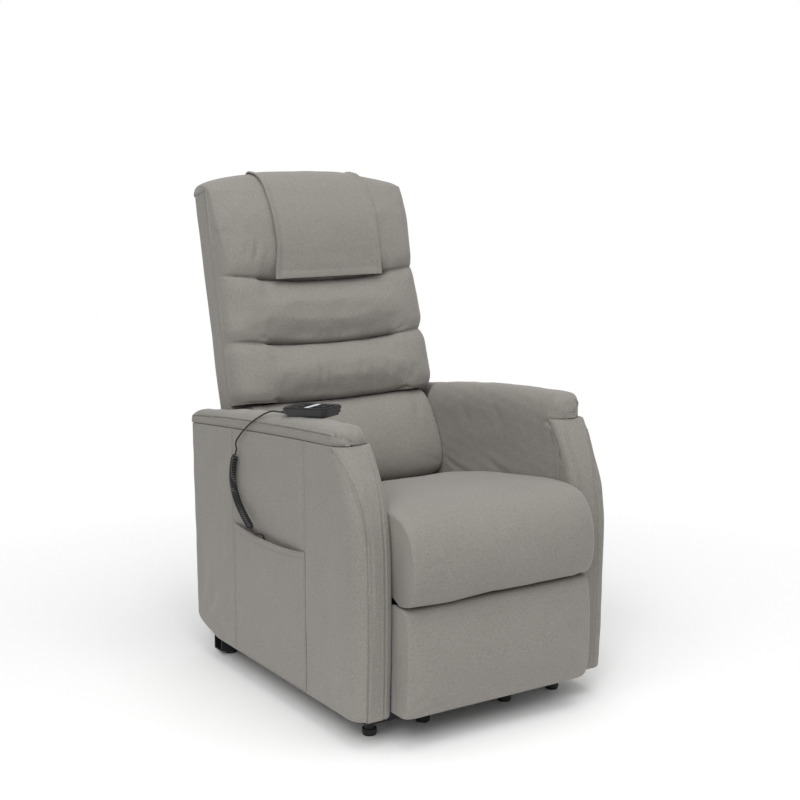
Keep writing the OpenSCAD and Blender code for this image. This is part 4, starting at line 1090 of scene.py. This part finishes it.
@dataclass
class BackRest:
    """Cushions and covers of the back rest; u runs up its rear face and v forward from it."""

    half: float = 267.0
    lumbar_half: float = 235.0
    shell_t: float = 60.0
    shell_low: float = 60.0
    shell_r: float = 7.0
    lumbar_low: float = 33.0
    lumbar_high: float = 261.0
    top: float = 770.0
    head_low: float = 640.0
    head_sag: float = 15.0
    channels: tuple = ((262.0, 9.0), (408.0, 18.0), (566.0, 23.0))
    head: tuple = (
        (640, 66), (672, 65), (701, 61.5), (722, 55), (740, 48), (756, 41), (770, 34), (786, 23), (798, 12),
        (808, -1), (816, -18), (821, -30), (819, -42), (810, -51), (800, -56.5), (788, -59.5), (778, -60),
        (770.5, -60),
    )
    # Depth of the rolls in front of the shell in the middle of the back, at places up it
    depths: tuple = (
        (32, 120, 190, 262, 335, 408, 480, 566, 610, 640), (132, 122, 106, 86, 79, 71, 66, 62, 64, 66),
    )
    # Puckers at both ends of a channel: x, distance up from the channel, v
    ends: tuple = ((150, -2, 110), (182, 6, 128), (206, 16, 126))
    # Creases down the rolls: x, from u, to u, width, depth
    creases: tuple = (
        (-62, 272, 388, 7, 5.0), (-42, 266, 372, 6, 3.6), (52, 286, 394, 8, 2.6), (128, 280, 384, 9, 3.4),
        (-30, 420, 530, 6, 4.4), (-4, 412, 540, 7, 5.2), (26, 430, 534, 6, 3.8), (66, 428, 528, 9, 2.8),
        (116, 430, 516, 8, 3.2), (196, 276, 330, 8, 3.6), (214, 300, 350, 7, 3.0), (-196, 420, 470, 8, 3.2),
    )
    # Their line: share of the way up, distance across, v
    crease_line: tuple = ((0, 0, 144), (0.5, 7, 144), (1, 4, 132))
    # Creases of the head roll: path with v from the shell's front, width, depth
    head_creases: tuple = (
        (((-266, 664, 30), (-250, 664, 42), (-230, 654, 52)), 7, 7.0),
        (((-240, 730, 40), (-225, 700, 52), (-214, 668, 58)), 9, 3.4),
        (((-258, 600, 40), (-262, 650, 36), (-264, 698, 32)), 4, 2.4),
        (((250, 778, 10), (238, 760, 26), (222, 736, 38)), 6, 3.6),
        (((262, 752, 12), (248, 736, 28), (226, 716, 42)), 6, 3.2),
        (((-250, 780, 6), (-240, 764, 24), (-226, 744, 36)), 6, 3.2),
        (((-190, 590, 60), (-180, 620, 64), (-176, 650, 64)), 8, 3.6),
        (((-215, 590, 56), (-210, 612, 58), (-200, 640, 60)), 7, 3.0),
    )

    def sag(self, x: Num) -> Num:
        """How much of a channel's sag there is at a place across: 1 in the middle and 0 at the sides."""
        return 1 - (x / self.half) ** 2

    def top_share(self, x: Num) -> Num:
        """How much of the head roll's height there is at a place across; the left corner is worn rounder."""
        return crown(x / self.half, np.where(x > 0, 0.2, 0.4), 2.6, 0.7)

    def near_shell(self, points: np.ndarray, reach: float) -> np.ndarray:
        """Tells how near points lie to the shell: 1 at it, 0 from the reach in front of it onwards."""
        return smooth(off_back(points)[1], self.shell_t + reach, self.shell_t + 4)

    def lumbar_held(self, points: np.ndarray) -> np.ndarray:
        """Tells how firmly the lumbar cushion is held at given points, from 0 to 1."""
        return np.clip(smooth(np.abs(points[:, 0]), 222, 235) + self.near_shell(points, 40), 0, 1)

    def lumbar(self) -> None:
        """Makes the lumbar cushion between the arms."""
        x = across(self.lumbar_half, 6.5, 0.7, 30)
        t = np.radians(graded(0, 180, 2.2, (0.0, 180.0), 1.0, 20))[None, :]
        f = (1 - np.cos(t)) / 2
        e = x / self.lumbar_half
        corner = 12 * np.abs(e) ** 12
        u = mix(self.lumbar_low + corner, self.lumbar_high - 9 * self.sag(x) - 0.4 * corner, f)
        v = self.shell_t + GAP + mix(134.0, 84.0, f) * crown(e, 0.975, 20.0) * np.sin(t) ** 0.36
        skin = Skin(on_back(x, u, v))
        face = np.sin(t) * smooth(np.abs(e), 1, 0.85)
        skin.push(face * uneven(skin.points, (1.8, 150, 61), (0.5, 50, 62)))
        folds = (
            (((-60, 250, 140), (-40, 215, 160), (-10, 180, 168)), 13, 3.2),
            (((90, 252, 140), (110, 215, 158), (135, 170, 165)), 14, 3.4),
            (((200, 240, 130), (190, 200, 145), (178, 160, 155)), 10, 3.0),
            (((-200, 240, 130), (-190, 200, 145), (-178, 160, 155)), 10, 3.0),
            (((20, 252, 142), (40, 225, 156), (70, 200, 162)), 9, 2.2),
        )
        skin.fold([back_fold(*fold) for fold in folds])
        obj = skin.build("lumbar_cushion_cover", Palette.cloth)
        Swelling(5.0).apply(obj, self.lumbar_held)
        dress(obj, "back", ("lumbar_roll",))

    def held(self, points: np.ndarray) -> np.ndarray:
        """Tells how firmly the sewn cover is held: at its channels, at the shell and under the head cover.

        Args:
            points: Points in millimetres.

        Returns:
            1 where it's held fast and 0 where it's free.
        """
        u, _ = off_back(points)
        firm = self.near_shell(points, 26) + smooth(u, 556, 580)
        for c, sag in self.channels:
            gap = u - (c - sag * self.sag(points[:, 0]))
            firm = firm + np.exp(-((gap / 9) ** 2))
        return np.clip(firm, 0, 1)

    def depth_share(self, x: Num, gap: Num) -> Num:
        """How much of the full depth is left near a channel.

        Args:
            x: Place across.
            gap: Distance from the channel, up the back.

        Returns:
            1 away from it, less in it.
        """
        shallow = 1 - 0.13 * np.exp(-((gap / 18) ** 2)) - 0.10 * np.exp(-((gap / 4) ** 2))
        reach = np.clip(np.abs(gap) / 62, 0, 1)
        round_off = 0.40 + 0.60 * (1 - (1 - reach) ** 2.6) ** 0.5
        pinch = 1 - 0.20 * np.exp(-((gap / 3.5) ** 2))
        return mix(shallow, round_off * pinch, smooth(np.abs(x), 192, 158))

    def cover(self) -> None:
        """Makes the cushions of the back above the lumbar one, under one sewn cover."""
        x = across(self.half, 6.5, 0.7, 26, -172, 172)
        lows = [u for u, _ in self.channels]
        us = graded(lows[0], self.head_low, 6.0, lows, 0.8, 22)
        h = self.sag(x)
        sags = np.transpose([*self.channels, (self.head_low, self.head_sag), (self.top, 0)])
        face_u = us[None, :] - np.interp(us, *sags)[None, :] * h
        share = np.ones_like(face_u)
        for c in lows:
            share = share * self.depth_share(x, us[None, :] - c)
        depth = np.interp(us, *self.depths)[None, :] * share
        head_u, head_v = curve(self.head, 4)[1:].T
        raised = self.top + (head_u - self.top) * self.top_share(x)
        sunk = self.head_sag * h * (self.top - head_u) / (self.top - self.head_low)
        head_u = np.where(head_u > self.top, raised, head_u - sunk)
        # The face and the head roll come first, then the way forward over the shell's top and down its front
        rows = np.ones_like(x)
        v = np.concatenate([depth, rows * head_v], axis=1)
        u = np.concatenate([face_u, head_u], axis=1)
        e = x / self.half
        k = mix(np.clip(1 - np.abs(e) ** 16, 0, 1) ** 0.4, crown(e, 0.5, 5.0), smooth(u, 590, 690))
        v = np.where(v > 0, v * k, v)
        rear = np.linspace(-58, -2, 14)
        down = np.linspace(self.top - 6, lows[0] + 4, 30)
        u = np.concatenate([u, rows * np.full(len(rear), self.top), rows * down], axis=1)
        v = np.concatenate([v, rows * rear, rows * np.full(len(down), GAP)], axis=1)
        low = np.clip((u - lows[0]) / (lows[-1] - lows[0]), 0, 1)
        puffed = np.ones_like(u)
        for c in lows:
            puffed = puffed * (1 - np.exp(-(((u - c) / 16) ** 2)))
        wide = x + np.sign(x) * 7 * np.abs(e) ** 5 * puffed * smooth(low, 1.0, 0.55) * (v > 4)
        skin = Skin(on_back(wide, u, self.shell_t + v))
        front = (v > 6) * smooth(np.abs(e), 1.0, 0.9)
        skin.push(front * uneven(skin.points, (1.6, 130, 71), (0.55, 45, 72)))
        skin.fold(self.folds())
        obj = skin.build("back_cushion_cover", Palette.cloth)
        Swelling(5.0).apply(obj, self.held)
        dress(obj, "back", ("middle_roll", "upper_roll", "head_roll"))

    def folds(self) -> list:
        """Lists the puckers and creases of the rolls.

        Returns:
            The folds.
        """
        rng = np.random.default_rng(7)
        out = []
        for c, sag in self.channels:
            for way in (-1, 1):
                ends = [(way * x, c - sag * self.sag(x) + du, v) for x, du, v in self.ends]
                out.append(back_fold(ends, 5.5, 4.5))
            for x in np.arange(-140, 141, 24) + rng.uniform(-8, 8, 12):
                rise = rng.uniform(18, 40) * (1 if rng.uniform() < 0.6 else -1)
                lean = rng.uniform(-14, 14)
                u0 = c - sag * self.sag(x)
                pucker = [(x + lean * s, u0 + rise * s, 112 + 20 * s) for s in (0.12, 0.5, 1.0)]
                out.append(back_fold(pucker, rng.uniform(3, 5), rng.uniform(0.9, 1.8)))
        for x, u0, u1, width, depth in self.creases:
            line = [(x + dx, mix(u0, u1, s), v) for s, dx, v in self.crease_line]
            out.append(back_fold(line, width, depth))
        for path, width, depth in self.head_creases:
            out.append(back_fold([(x, u, self.shell_t + v) for x, u, v in path], width, depth))
        return out

    def shell(self) -> None:
        """Makes the cover of the back's sides and rear face."""
        r, low = self.shell_r, self.shell_low
        us = graded(low, self.top + 0.5, 8.0, (low, self.top), 1.0, 20)[:, None]
        ring = []
        x0, v1 = self.half - r, self.shell_t - r
        for x, v, turn, (dx, dv) in (
            (x0, v1, 0, (-1, 0)), (-x0, v1, 90, (0, -1)), (-x0, r, 180, (1, 0)), (x0, r, 270, (0, 1)),
        ):
            ring += arc(x, v, r, np.linspace(turn, turn + 90, 6))
            span, count = (2 * x0, 60) if dx else (v1 - r, 12)
            x, v = ring[-1]
            ring += [(x + dx * s, v + dv * s) for s in np.linspace(0, span, count)[1:-1]]
        x, v = np.array(ring).T[:, None]
        skin = Skin(on_back(x, us, v))
        ends = smooth(us, low, low + 40) * smooth(us, self.top, self.top - 40)
        skin.push(ends * uneven(skin.points, (1.0, 160, 81), (0.3, 50, 82)) * (v < 56))
        obj = skin.build("back_shell_cover", Palette.cloth)
        dress(obj, "back", ("back_shell",))
        rows = Stitching(obj)
        for way in (-1, 1):
            rows.row(on_back(way * self.half, np.linspace(80, self.top - 8, 120), 53.0))
        rows.build("back_shell_stitches", "back")

    def build(self) -> None:
        """Makes the cushions and the cover of the shell."""
        self.lumbar()
        self.cover()
        self.shell()


@dataclass
class HeadCover:
    """Cloth that hangs over the head roll, hemmed all round."""

    half: float = 142.0
    middle: float = 12.0
    front_u: float = 549.0
    rear_u: float = 592.0
    thick: float = 3.0
    hem_end: float = 11.5
    hem_side: float = 12.5
    back: BackRest = field(default_factory=BackRest)

    def build(self) -> None:
        """Makes the cloth."""
        back = self.back
        xs = across(self.half, 6.0, 0.8, 20)
        deep = back.shell_t
        front = [(self.front_u, deep + 57.0), (578, deep + 61.5), (612, deep + 64.0)]
        head = [(u, v + deep) for u, v in back.head[:-2]]
        path = curve([*front, *head, *((u, -0.5) for u in (758, 730, 690, 640, self.rear_u))], 5)
        path_u, path_v = path.T[:, None]
        x = xs + self.middle
        k = crown(x / back.half, 0.5, 5.0)
        raised = back.top + (path_u - back.top) * back.top_share(x)
        below = np.clip((back.top - path_u) / (back.top - back.head_low), 0, 1)
        sunk = np.where(path_v > 5, back.head_sag * back.sag(x) * below, 0)
        u = np.where(path_u > back.top, raised, path_u - sunk * smooth(path_u, self.front_u, 640))
        flare = smooth(path_u, 650, self.front_u) * (path_v > 40)
        x = x - 10 * (self.half - xs) / (2 * self.half) * flare
        over = path_v - deep
        middle = on_back(x, u, deep + np.where(over > 0, over * k, over))
        away = Skin(middle, False).outward()
        if np.mean(away[:, :12, 1]) > 0:
            away = -away
        length = distances(path)
        from_end = np.minimum(length, length[-1] - length)[None, :] * np.ones_like(x)
        from_side = self.half - np.abs(xs) + 0 * from_end
        end, side = self.hem_end, self.hem_side
        hem = np.maximum(smooth(from_end, end + 1.5, end), smooth(from_side, side + 1.5, side))
        wave = 0.6 * ripple(middle, 80, 91) * smooth(from_end, 0, 30)
        inner = 1.4 + wave + 2.4 * smooth(from_side, 16, 0) + 2.0 * smooth(from_end, 20, 0)
        groove = np.exp(-((from_end - end) ** 2)) + np.exp(-((from_side - side) ** 2))
        outer = inner + self.thick * 0.55 + 2.0 * hem - 1.1 * np.clip(groove, 0, 1)
        ring = closed(middle + away * outer[..., None], middle + away * inner[..., None])
        obj = Skin(ring).build("head_cover_cloth", Palette.cloth, 60)
        dress(obj, "back", ("head_cover",))
        rows = Stitching(obj)
        at = middle + away * 6
        for drop in (2.5, 9.5):
            for x0 in (drop - self.half, self.half - drop):
                rows.row(between(at, np.interp(x0, xs[:, 0], np.arange(len(xs)))))
            for along in (drop, length[-1] - drop):
                rows.row(between(at.swapaxes(0, 1), np.interp(along, length, np.arange(len(length)))))
        rows.build("head_cover_stitches", "back")


@dataclass
class Footrest:
    """Padded front of the footrest."""

    half: float = 236.5
    low: float = 66.0
    high: float = 300.0
    face: float = -400.3
    deep: float = 46.0
    board_half: float = 226.5
    turn_in: float = 30.0
    folds: tuple = (
        Fold(((-232, -420, 90), (-205, -440, 108), (-165, -446, 130)), 8, 2.6),
        Fold(((-232, -425, 130), (-210, -442, 150), (-180, -446, 180)), 8, 2.2),
        Fold(((-228, -420, 72), (-190, -440, 84), (-140, -446, 94)), 6, 2.2),
        Fold(((228, -425, 75), (200, -442, 86), (170, -446, 100)), 6, 1.8),
    )

    def held(self, p: np.ndarray) -> np.ndarray:
        """Tells how firmly points are held: at the sides, at the board and at both edges.

        Args:
            p: Points in millimetres.

        Returns:
            1 where the cover is held fast and 0 where it's free.
        """
        x, y, z = p.T
        edge = smooth(np.minimum(z - self.low, self.high - z), 26, 6)
        return np.clip(smooth(np.abs(x), 216, 236) + smooth(y, -420, -406) + edge, 0, 1)

    def build(self) -> None:
        """Makes the pad."""
        xs = across(self.half, 6.5, 0.6, 26)
        t = np.radians(graded(0, 180, 2.4, (0.0, 180.0), 0.8, 16))[None, :]
        e = xs / self.half
        y = self.face - self.deep * crown(e, 0.74, 9.0) * np.sin(t) ** 0.4
        round_off = 6 * (1 - np.sqrt(np.clip(1 - np.clip((np.abs(e) - 0.92) / 0.08, 0, 1) ** 2, 0, 1)))
        z = mix(self.low + round_off, self.high - 0.35 * round_off, (1 - np.cos(t)) / 2)
        wrap = np.where(np.abs(xs) > self.board_half, self.face + self.turn_in, self.face)
        y = np.concatenate([wrap, y, wrap], axis=1)
        z, t = (np.concatenate([a[:, :1], a, a[:, -1:]], axis=1) for a in (z, t))
        skin = Skin(spots(xs, y, z))
        face = np.sin(t) * smooth(np.abs(e), 1.0, 0.9)
        skin.push(face * uneven(skin.points, (1.2, 150, 101), (0.4, 45, 102)))
        skin.fold(self.folds)
        obj = skin.build("footrest_pad_cover", Palette.cloth)
        Swelling(4.0).apply(obj, self.held)
        dress(obj, "footrest", ("footrest_pad",))


@dataclass
class RearPanel:
    """Covered panel between the arms behind the seat."""

    half: float = 269.5
    low: float = 78.0
    high: float = 320.0
    front: float = 352.0
    rear: float = 380.0
    edge_r: float = 5.0

    def build(self) -> None:
        """Makes the panel."""
        z = graded(self.low, self.high, 7.0, (self.low, self.high), 0.8, 14)[:, None]
        x = across(self.half, 8.0, 1.0, 14).T
        edge = np.minimum(z - self.low, self.high - z)
        soft = rounding(edge, self.edge_r)
        inside = smooth(self.half - np.abs(x), 0, 30) * smooth(edge, 0, 30)
        rear = self.rear - soft + inside * uneven(spots(x, 0, z), (0.9, 150, 111), (0.3, 50, 112))
        ring = closed(spots(x, rear, z), spots(x, self.front + soft, z))
        obj = Skin(ring).build("rear_panel_cover", Palette.cloth, 60)
        dress(obj, "carriage", ("rear_panel",))
        rows = Stitching(obj)
        for z0 in (self.high - 12, self.low + 12):
            rows.row(spots(np.linspace(-self.half + 6, self.half - 6, 80), self.rear, z0))
        rows.build("rear_panel_stitches", "carriage")


# ---------- handset and cord ----------


@dataclass
class HandsetCord:
    """The one cord from the handset over the arm into the pocket, curled in its middle."""

    diameter: float = 3.8
    curls: int = 34
    curl_d: float = 17.0
    steps: int = 16
    sides: int = 10
    x: float = -332.5
    start: tuple = (-302.724, -41.255, 652.587)
    way: tuple = (-0.2578, 0.9623, -0.0872)
    hang: tuple = ((122, 540), (168, 451), (119, 421), (48, 375))

    def middle(self, s: Num) -> np.ndarray:
        """Middle line of the curled part.

        Args:
            s: Shares of the line.

        Returns:
            The points.
        """
        p = np.array([(self.x, y, z) for y, z in self.hang])
        s = np.asarray(s, float)[..., None]
        return (1 - s) ** 3 * p[0] + 3 * (1 - s) ** 2 * s * p[1] + 3 * (1 - s) * s * s * p[2] + s**3 * p[3]

    def path(self) -> np.ndarray:
        """Draws the cord's middle line.

        Returns:
            Its points.
        """
        start, way, x = np.array(self.start), np.array(self.way), self.x
        top, end = self.middle(0.0), self.middle(1.0)
        d0 = unit(self.middle(0.01) - top)
        d1 = unit(end - self.middle(0.99))
        over_arm = [(x + 19.5, -6, 649), (x + 7, 36, 627), (x + 2, 82, 597), (x + 0.2, 119, 565)]
        lead = [*(start + way * s for s in (0.1, 4, 8)), *over_arm, top - 8 * d0, top - 4 * d0, top]
        total = self.curls * self.steps
        i = np.arange(total + 1)
        s = mix(0.02, 0.98, i / total)
        d = unit(self.middle(np.minimum(1, s + 0.01)) - self.middle(np.maximum(0, s - 0.01)))
        aside = np.array([1.0, 0, 0])
        ramp = np.minimum(1, np.minimum(i, total - i) / self.steps)[:, None]
        a = (2 * np.pi * i / self.steps)[:, None]
        r = self.curl_d / 2 - self.diameter / 2
        coil = self.middle(s) + ramp * r * (np.cos(a) * np.cross(d, aside) + np.sin(a) * aside)
        into_pocket = [
            (x + 3, 37.5, 369), (x + 9, 34, 368.5), (x + 16, 31, 365.5), (x + 19.5, 29, 355),
            (x + 20, 26, 325), (x + 20.2, 23, 290), (x + 20.5, 22, 270), (x + 22, 22, 263.5),
            (-308, 22, 262), (-304, 22, 262),
        ]
        tail = [*(end + s * d1 for s in (0.1, 4, 8)), *into_pocket]
        return np.concatenate([curve(lead, 7), coil, curve(tail, 5)])

    def build(self) -> None:
        """Makes the cord."""
        path = self.path()
        path = path[np.concatenate([[True], np.linalg.norm(np.diff(path, axis=0), axis=1) > 0.3])]
        way = unit(np.gradient(path, axis=0))
        side = np.zeros_like(path)
        side[0] = unit(np.cross(way[0], [1, 0.02, 0.01]))
        for i in range(1, len(path)):
            side[i] = unit(side[i - 1] - (side[i - 1] @ way[i]) * way[i])
        other = np.cross(side, way)
        a = (2 * np.pi * np.arange(self.sides) / self.sides)[None, :, None]
        rings = path[:, None] + self.diameter / 2 * (np.cos(a) * side[:, None] + np.sin(a) * other[:, None])
        obj = Skin(rings).build("handset_cord", Palette.sheath)
        dress(obj, "carriage", ("handset_lead", "curly_cord", "cord_tail"))


@dataclass(frozen=True)
class HandsetTrim:
    """Painted reflection strips and the raised lip on top of the handset."""

    at: tuple = (-268.0, -115.0, 653.576)
    turn: tuple = (4.0, -5.0, -75.0)
    high: float = 20.0
    reflection_strip: tuple = (12.0, 8.6, 0.5)
    lip: tuple = (3.0, 46.0, 1.2)
    rows: int = 4
    pitch: float = 10.0

    def slab(self, name: str, middle: tuple, size: tuple, finish: Finish) -> None:
        """Makes a thin slab with soft edges that lies on the handset.

        Args:
            name: Name of the object.
            middle: Its middle on the handset, in millimetres.
            size: Its length, width and height.
            finish: Its finish.
        """
        bpy.ops.object.select_all(action="DESELECT")
        bpy.ops.mesh.primitive_cube_add(size=1)
        obj = bpy.context.active_object
        obj.name = name
        obj.scale = Vector(size) * MM
        bpy.ops.object.transform_apply(location=False, rotation=False, scale=True)
        bevel = obj.modifiers.new("edge", "BEVEL")
        bevel.width = min(size) * 0.3 * MM
        bevel.segments = 2
        bpy.ops.object.modifier_apply(modifier=bevel.name)
        spin = Euler([math.radians(a) for a in self.turn], "XYZ").to_matrix()
        obj.rotation_euler = spin.to_euler()
        obj.location = (Vector(self.at) + spin @ Vector(middle)) * MM
        bpy.ops.object.transform_apply(location=True, rotation=True, scale=False)
        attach(paint(obj, finish), "carriage")

    def build(self) -> None:
        """Makes the painted reflection strips and the lip."""
        # Pale slabs across the top, a painted reflection of the lamps on the glossy shell
        for i in range(self.rows):
            place = (3.0, (i + 0.5 - self.rows / 2) * self.pitch, self.high + 0.15)
            self.slab(f"handset_legend_{i + 1}", place, self.reflection_strip, Palette.reflection_strip)
        self.slab("handset_lip", (-38.0, 0, self.high + 0.4), self.lip, Palette.shell)


# ---------- frame ----------


class Hardware:
    """Finishes of the pieces that are shown as they were constructed."""

    finishes: dict = {
        Palette.steel: (
            "base_side_rails", "base_front_tube", "base_rear_tube", "base_brackets", "lift_links",
            "lift_torque_tube", "stabiliser_links", "seat_side_rails", "seat_cross_tubes", "seat_side_plates",
            "motor_hangers", "back_hinge_tube", "foot_swing_frame", "foot_lift_links", "foot_guide_links",
        ),
        Palette.bright: ("lift_rod", "back_rod", "foot_rod"),
        Palette.rubber: ("front_feet", "rear_feet"),
        Palette.plastic: ("lift_motor", "back_motor", "foot_motor", "control_box"),
        Palette.shell: ("handset_base", "handset_top"),
        Palette.key: (
            "button_back_up", "button_back_down", "button_foot_up", "button_foot_down", "button_lift_up",
            "button_lift_down",
        ),
        Palette.sheath: ("strain_relief",),
        Palette.wood: ("seat_slats", "back_frame"),
        # The seat's front board and the footboard: near-black lining as painted shade for the gaps around the
        # footrest
        Palette.gap_shade_lining: ("seat_front_board", "footboard"),
        Palette.web: ("back_straps",),
    }

    def build(self) -> None:
        """Paints the pieces."""
        for finish, names in self.finishes.items():
            for name in names:
                paint(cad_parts[name], finish)


# ---------- studio ----------


@dataclass
class Studio:
    """Camera, floor, light and background."""

    lens: float = 65.76
    place: tuple = (-1.771, -2.769, 1.212)
    azimuth: float = -33.0
    elevation: float = 9.8
    # Name, place and aim in metres, size and power
    lights: tuple = (
        ("key", (-2.2, -3.8, 4.3), (0, 0, 0.6), 3.0, 76.0),
        ("side", (-3.6, -1.9, 4.3), (0, 0, 0.5), 2.6, 56.0),
        ("fill", (-3.0, -3.2, 2.7), (0.2, 0, 0.6), 1.4, 38.0),
        ("top", (0.1, -1.0, 5.2), (0, 0, 0.5), 3.2, 82.0),
        ("right", (4.2, -1.7, 2.1), (0, 0, 0.5), 2.4, 15.0),
    )

    def put(self, data: bpy.types.ID, place: tuple, turn: Sequence) -> bpy.types.Object:
        """Puts a camera or a lamp into the studio.

        Args:
            data: The camera or the lamp.
            place: Where it stands, in metres.
            turn: How it's turned, as Euler angles.

        Returns:
            The object.
        """
        obj = bpy.data.objects.new(data.name, data)
        bpy.context.scene.collection.objects.link(obj)
        obj.location = place
        obj.rotation_euler = turn
        return obj

    def camera(self) -> None:
        """Sets up the camera."""
        data = bpy.data.cameras.new("camera")
        data.lens = self.lens
        data.sensor_width = 36.0
        data.clip_end = 50.0
        turn = (math.radians(90 - self.elevation), 0, math.radians(self.azimuth))
        bpy.context.scene.camera = self.put(data, self.place, turn)

    def floor(self) -> None:
        """Lays the floor."""
        bpy.ops.mesh.primitive_plane_add(size=24)
        floor = bpy.context.active_object
        floor.name = "studio_floor"
        material = bpy.data.materials.new("studio_floor_paint")
        material.use_nodes = True
        tree = material.node_tree
        shader = tree.nodes["Principled BSDF"]
        shader.inputs["Base Color"].default_value = linear("fbfbfb")
        shader.inputs["Roughness"].default_value = 0.9
        place = add(tree, "ShaderNodeTexCoord").outputs["Object"]
        away = add(tree, "ShaderNodeVectorMath", {0: place}, operation="LENGTH").outputs["Value"]
        span = {"Value": away, "From Min": 0.75, "From Max": 1.7}
        fade = add(tree, "ShaderNodeMapRange", span).outputs["Result"]
        clear = add(tree, "ShaderNodeBsdfTransparent").outputs[0]
        both = add(tree, "ShaderNodeMixShader", {0: fade, 1: shader.outputs[0], 2: clear}).outputs[0]
        tree.links.new(both, tree.nodes["Material Output"].inputs["Surface"])
        floor.data.materials.append(material)

    def lamps(self) -> None:
        """Hangs the soft lights."""
        for name, place, aim, size, power in self.lights:
            data = bpy.data.lights.new(name, "AREA")
            data.size = size
            data.energy = power
            way = Vector(aim) - Vector(place)
            self.put(data, place, way.to_track_quat("-Z", "Y").to_euler())

    def world(self) -> None:
        """Makes the background white and the light around the chair soft."""
        world = bpy.data.worlds.new("studio")
        bpy.context.scene.world = world
        world.use_nodes = True
        tree = world.node_tree
        tree.nodes.clear()
        path = add(tree, "ShaderNodeLightPath").outputs
        seen = path["Is Camera Ray"]
        for ray in ("Is Transmission Ray", "Is Glossy Ray"):
            seen = add(tree, "ShaderNodeMath", {0: seen, 1: path[ray]}, operation="MAXIMUM").outputs["Value"]
        lights = ({"Color": (1, 1, 1, 1), "Strength": strength} for strength in (0.48, 1.0))
        soft, white = (add(tree, "ShaderNodeBackground", light).outputs[0] for light in lights)
        both = add(tree, "ShaderNodeMixShader", {0: seen, 1: soft, 2: white}).outputs[0]
        add(tree, "ShaderNodeOutputWorld", {"Surface": both})

    def build(self) -> None:
        """Sets everything up."""
        self.camera()
        self.floor()
        self.lamps()
        self.world()
        bpy.context.scene.view_settings.view_transform = "Standard"


def main() -> None:
    """Builds the visual model; every piece is reported when it's painted."""
    logging.basicConfig(level=logging.INFO, format="%(message)s")
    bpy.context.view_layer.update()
    builders = (
        Studio(),
        HandsetCord(),
        Arm(-1, "right", 41.0, pad_front=-304.0, pad_round=37.0, inner_r=14.0),
        Arm(1, "left", 58.0, outer_r=13.0, pad_round=40.0, plain_front=True),
        SidePocket(),
        SeatCushion(),
        BackRest(),
        HeadCover(),
        Footrest(),
        RearPanel(),
        Hardware(),
        HandsetTrim(),
    )
    for builder in builders:
        LOG.info("building %s", type(builder).__name__)
        builder.build()


if __name__ == "__main__":
    main()
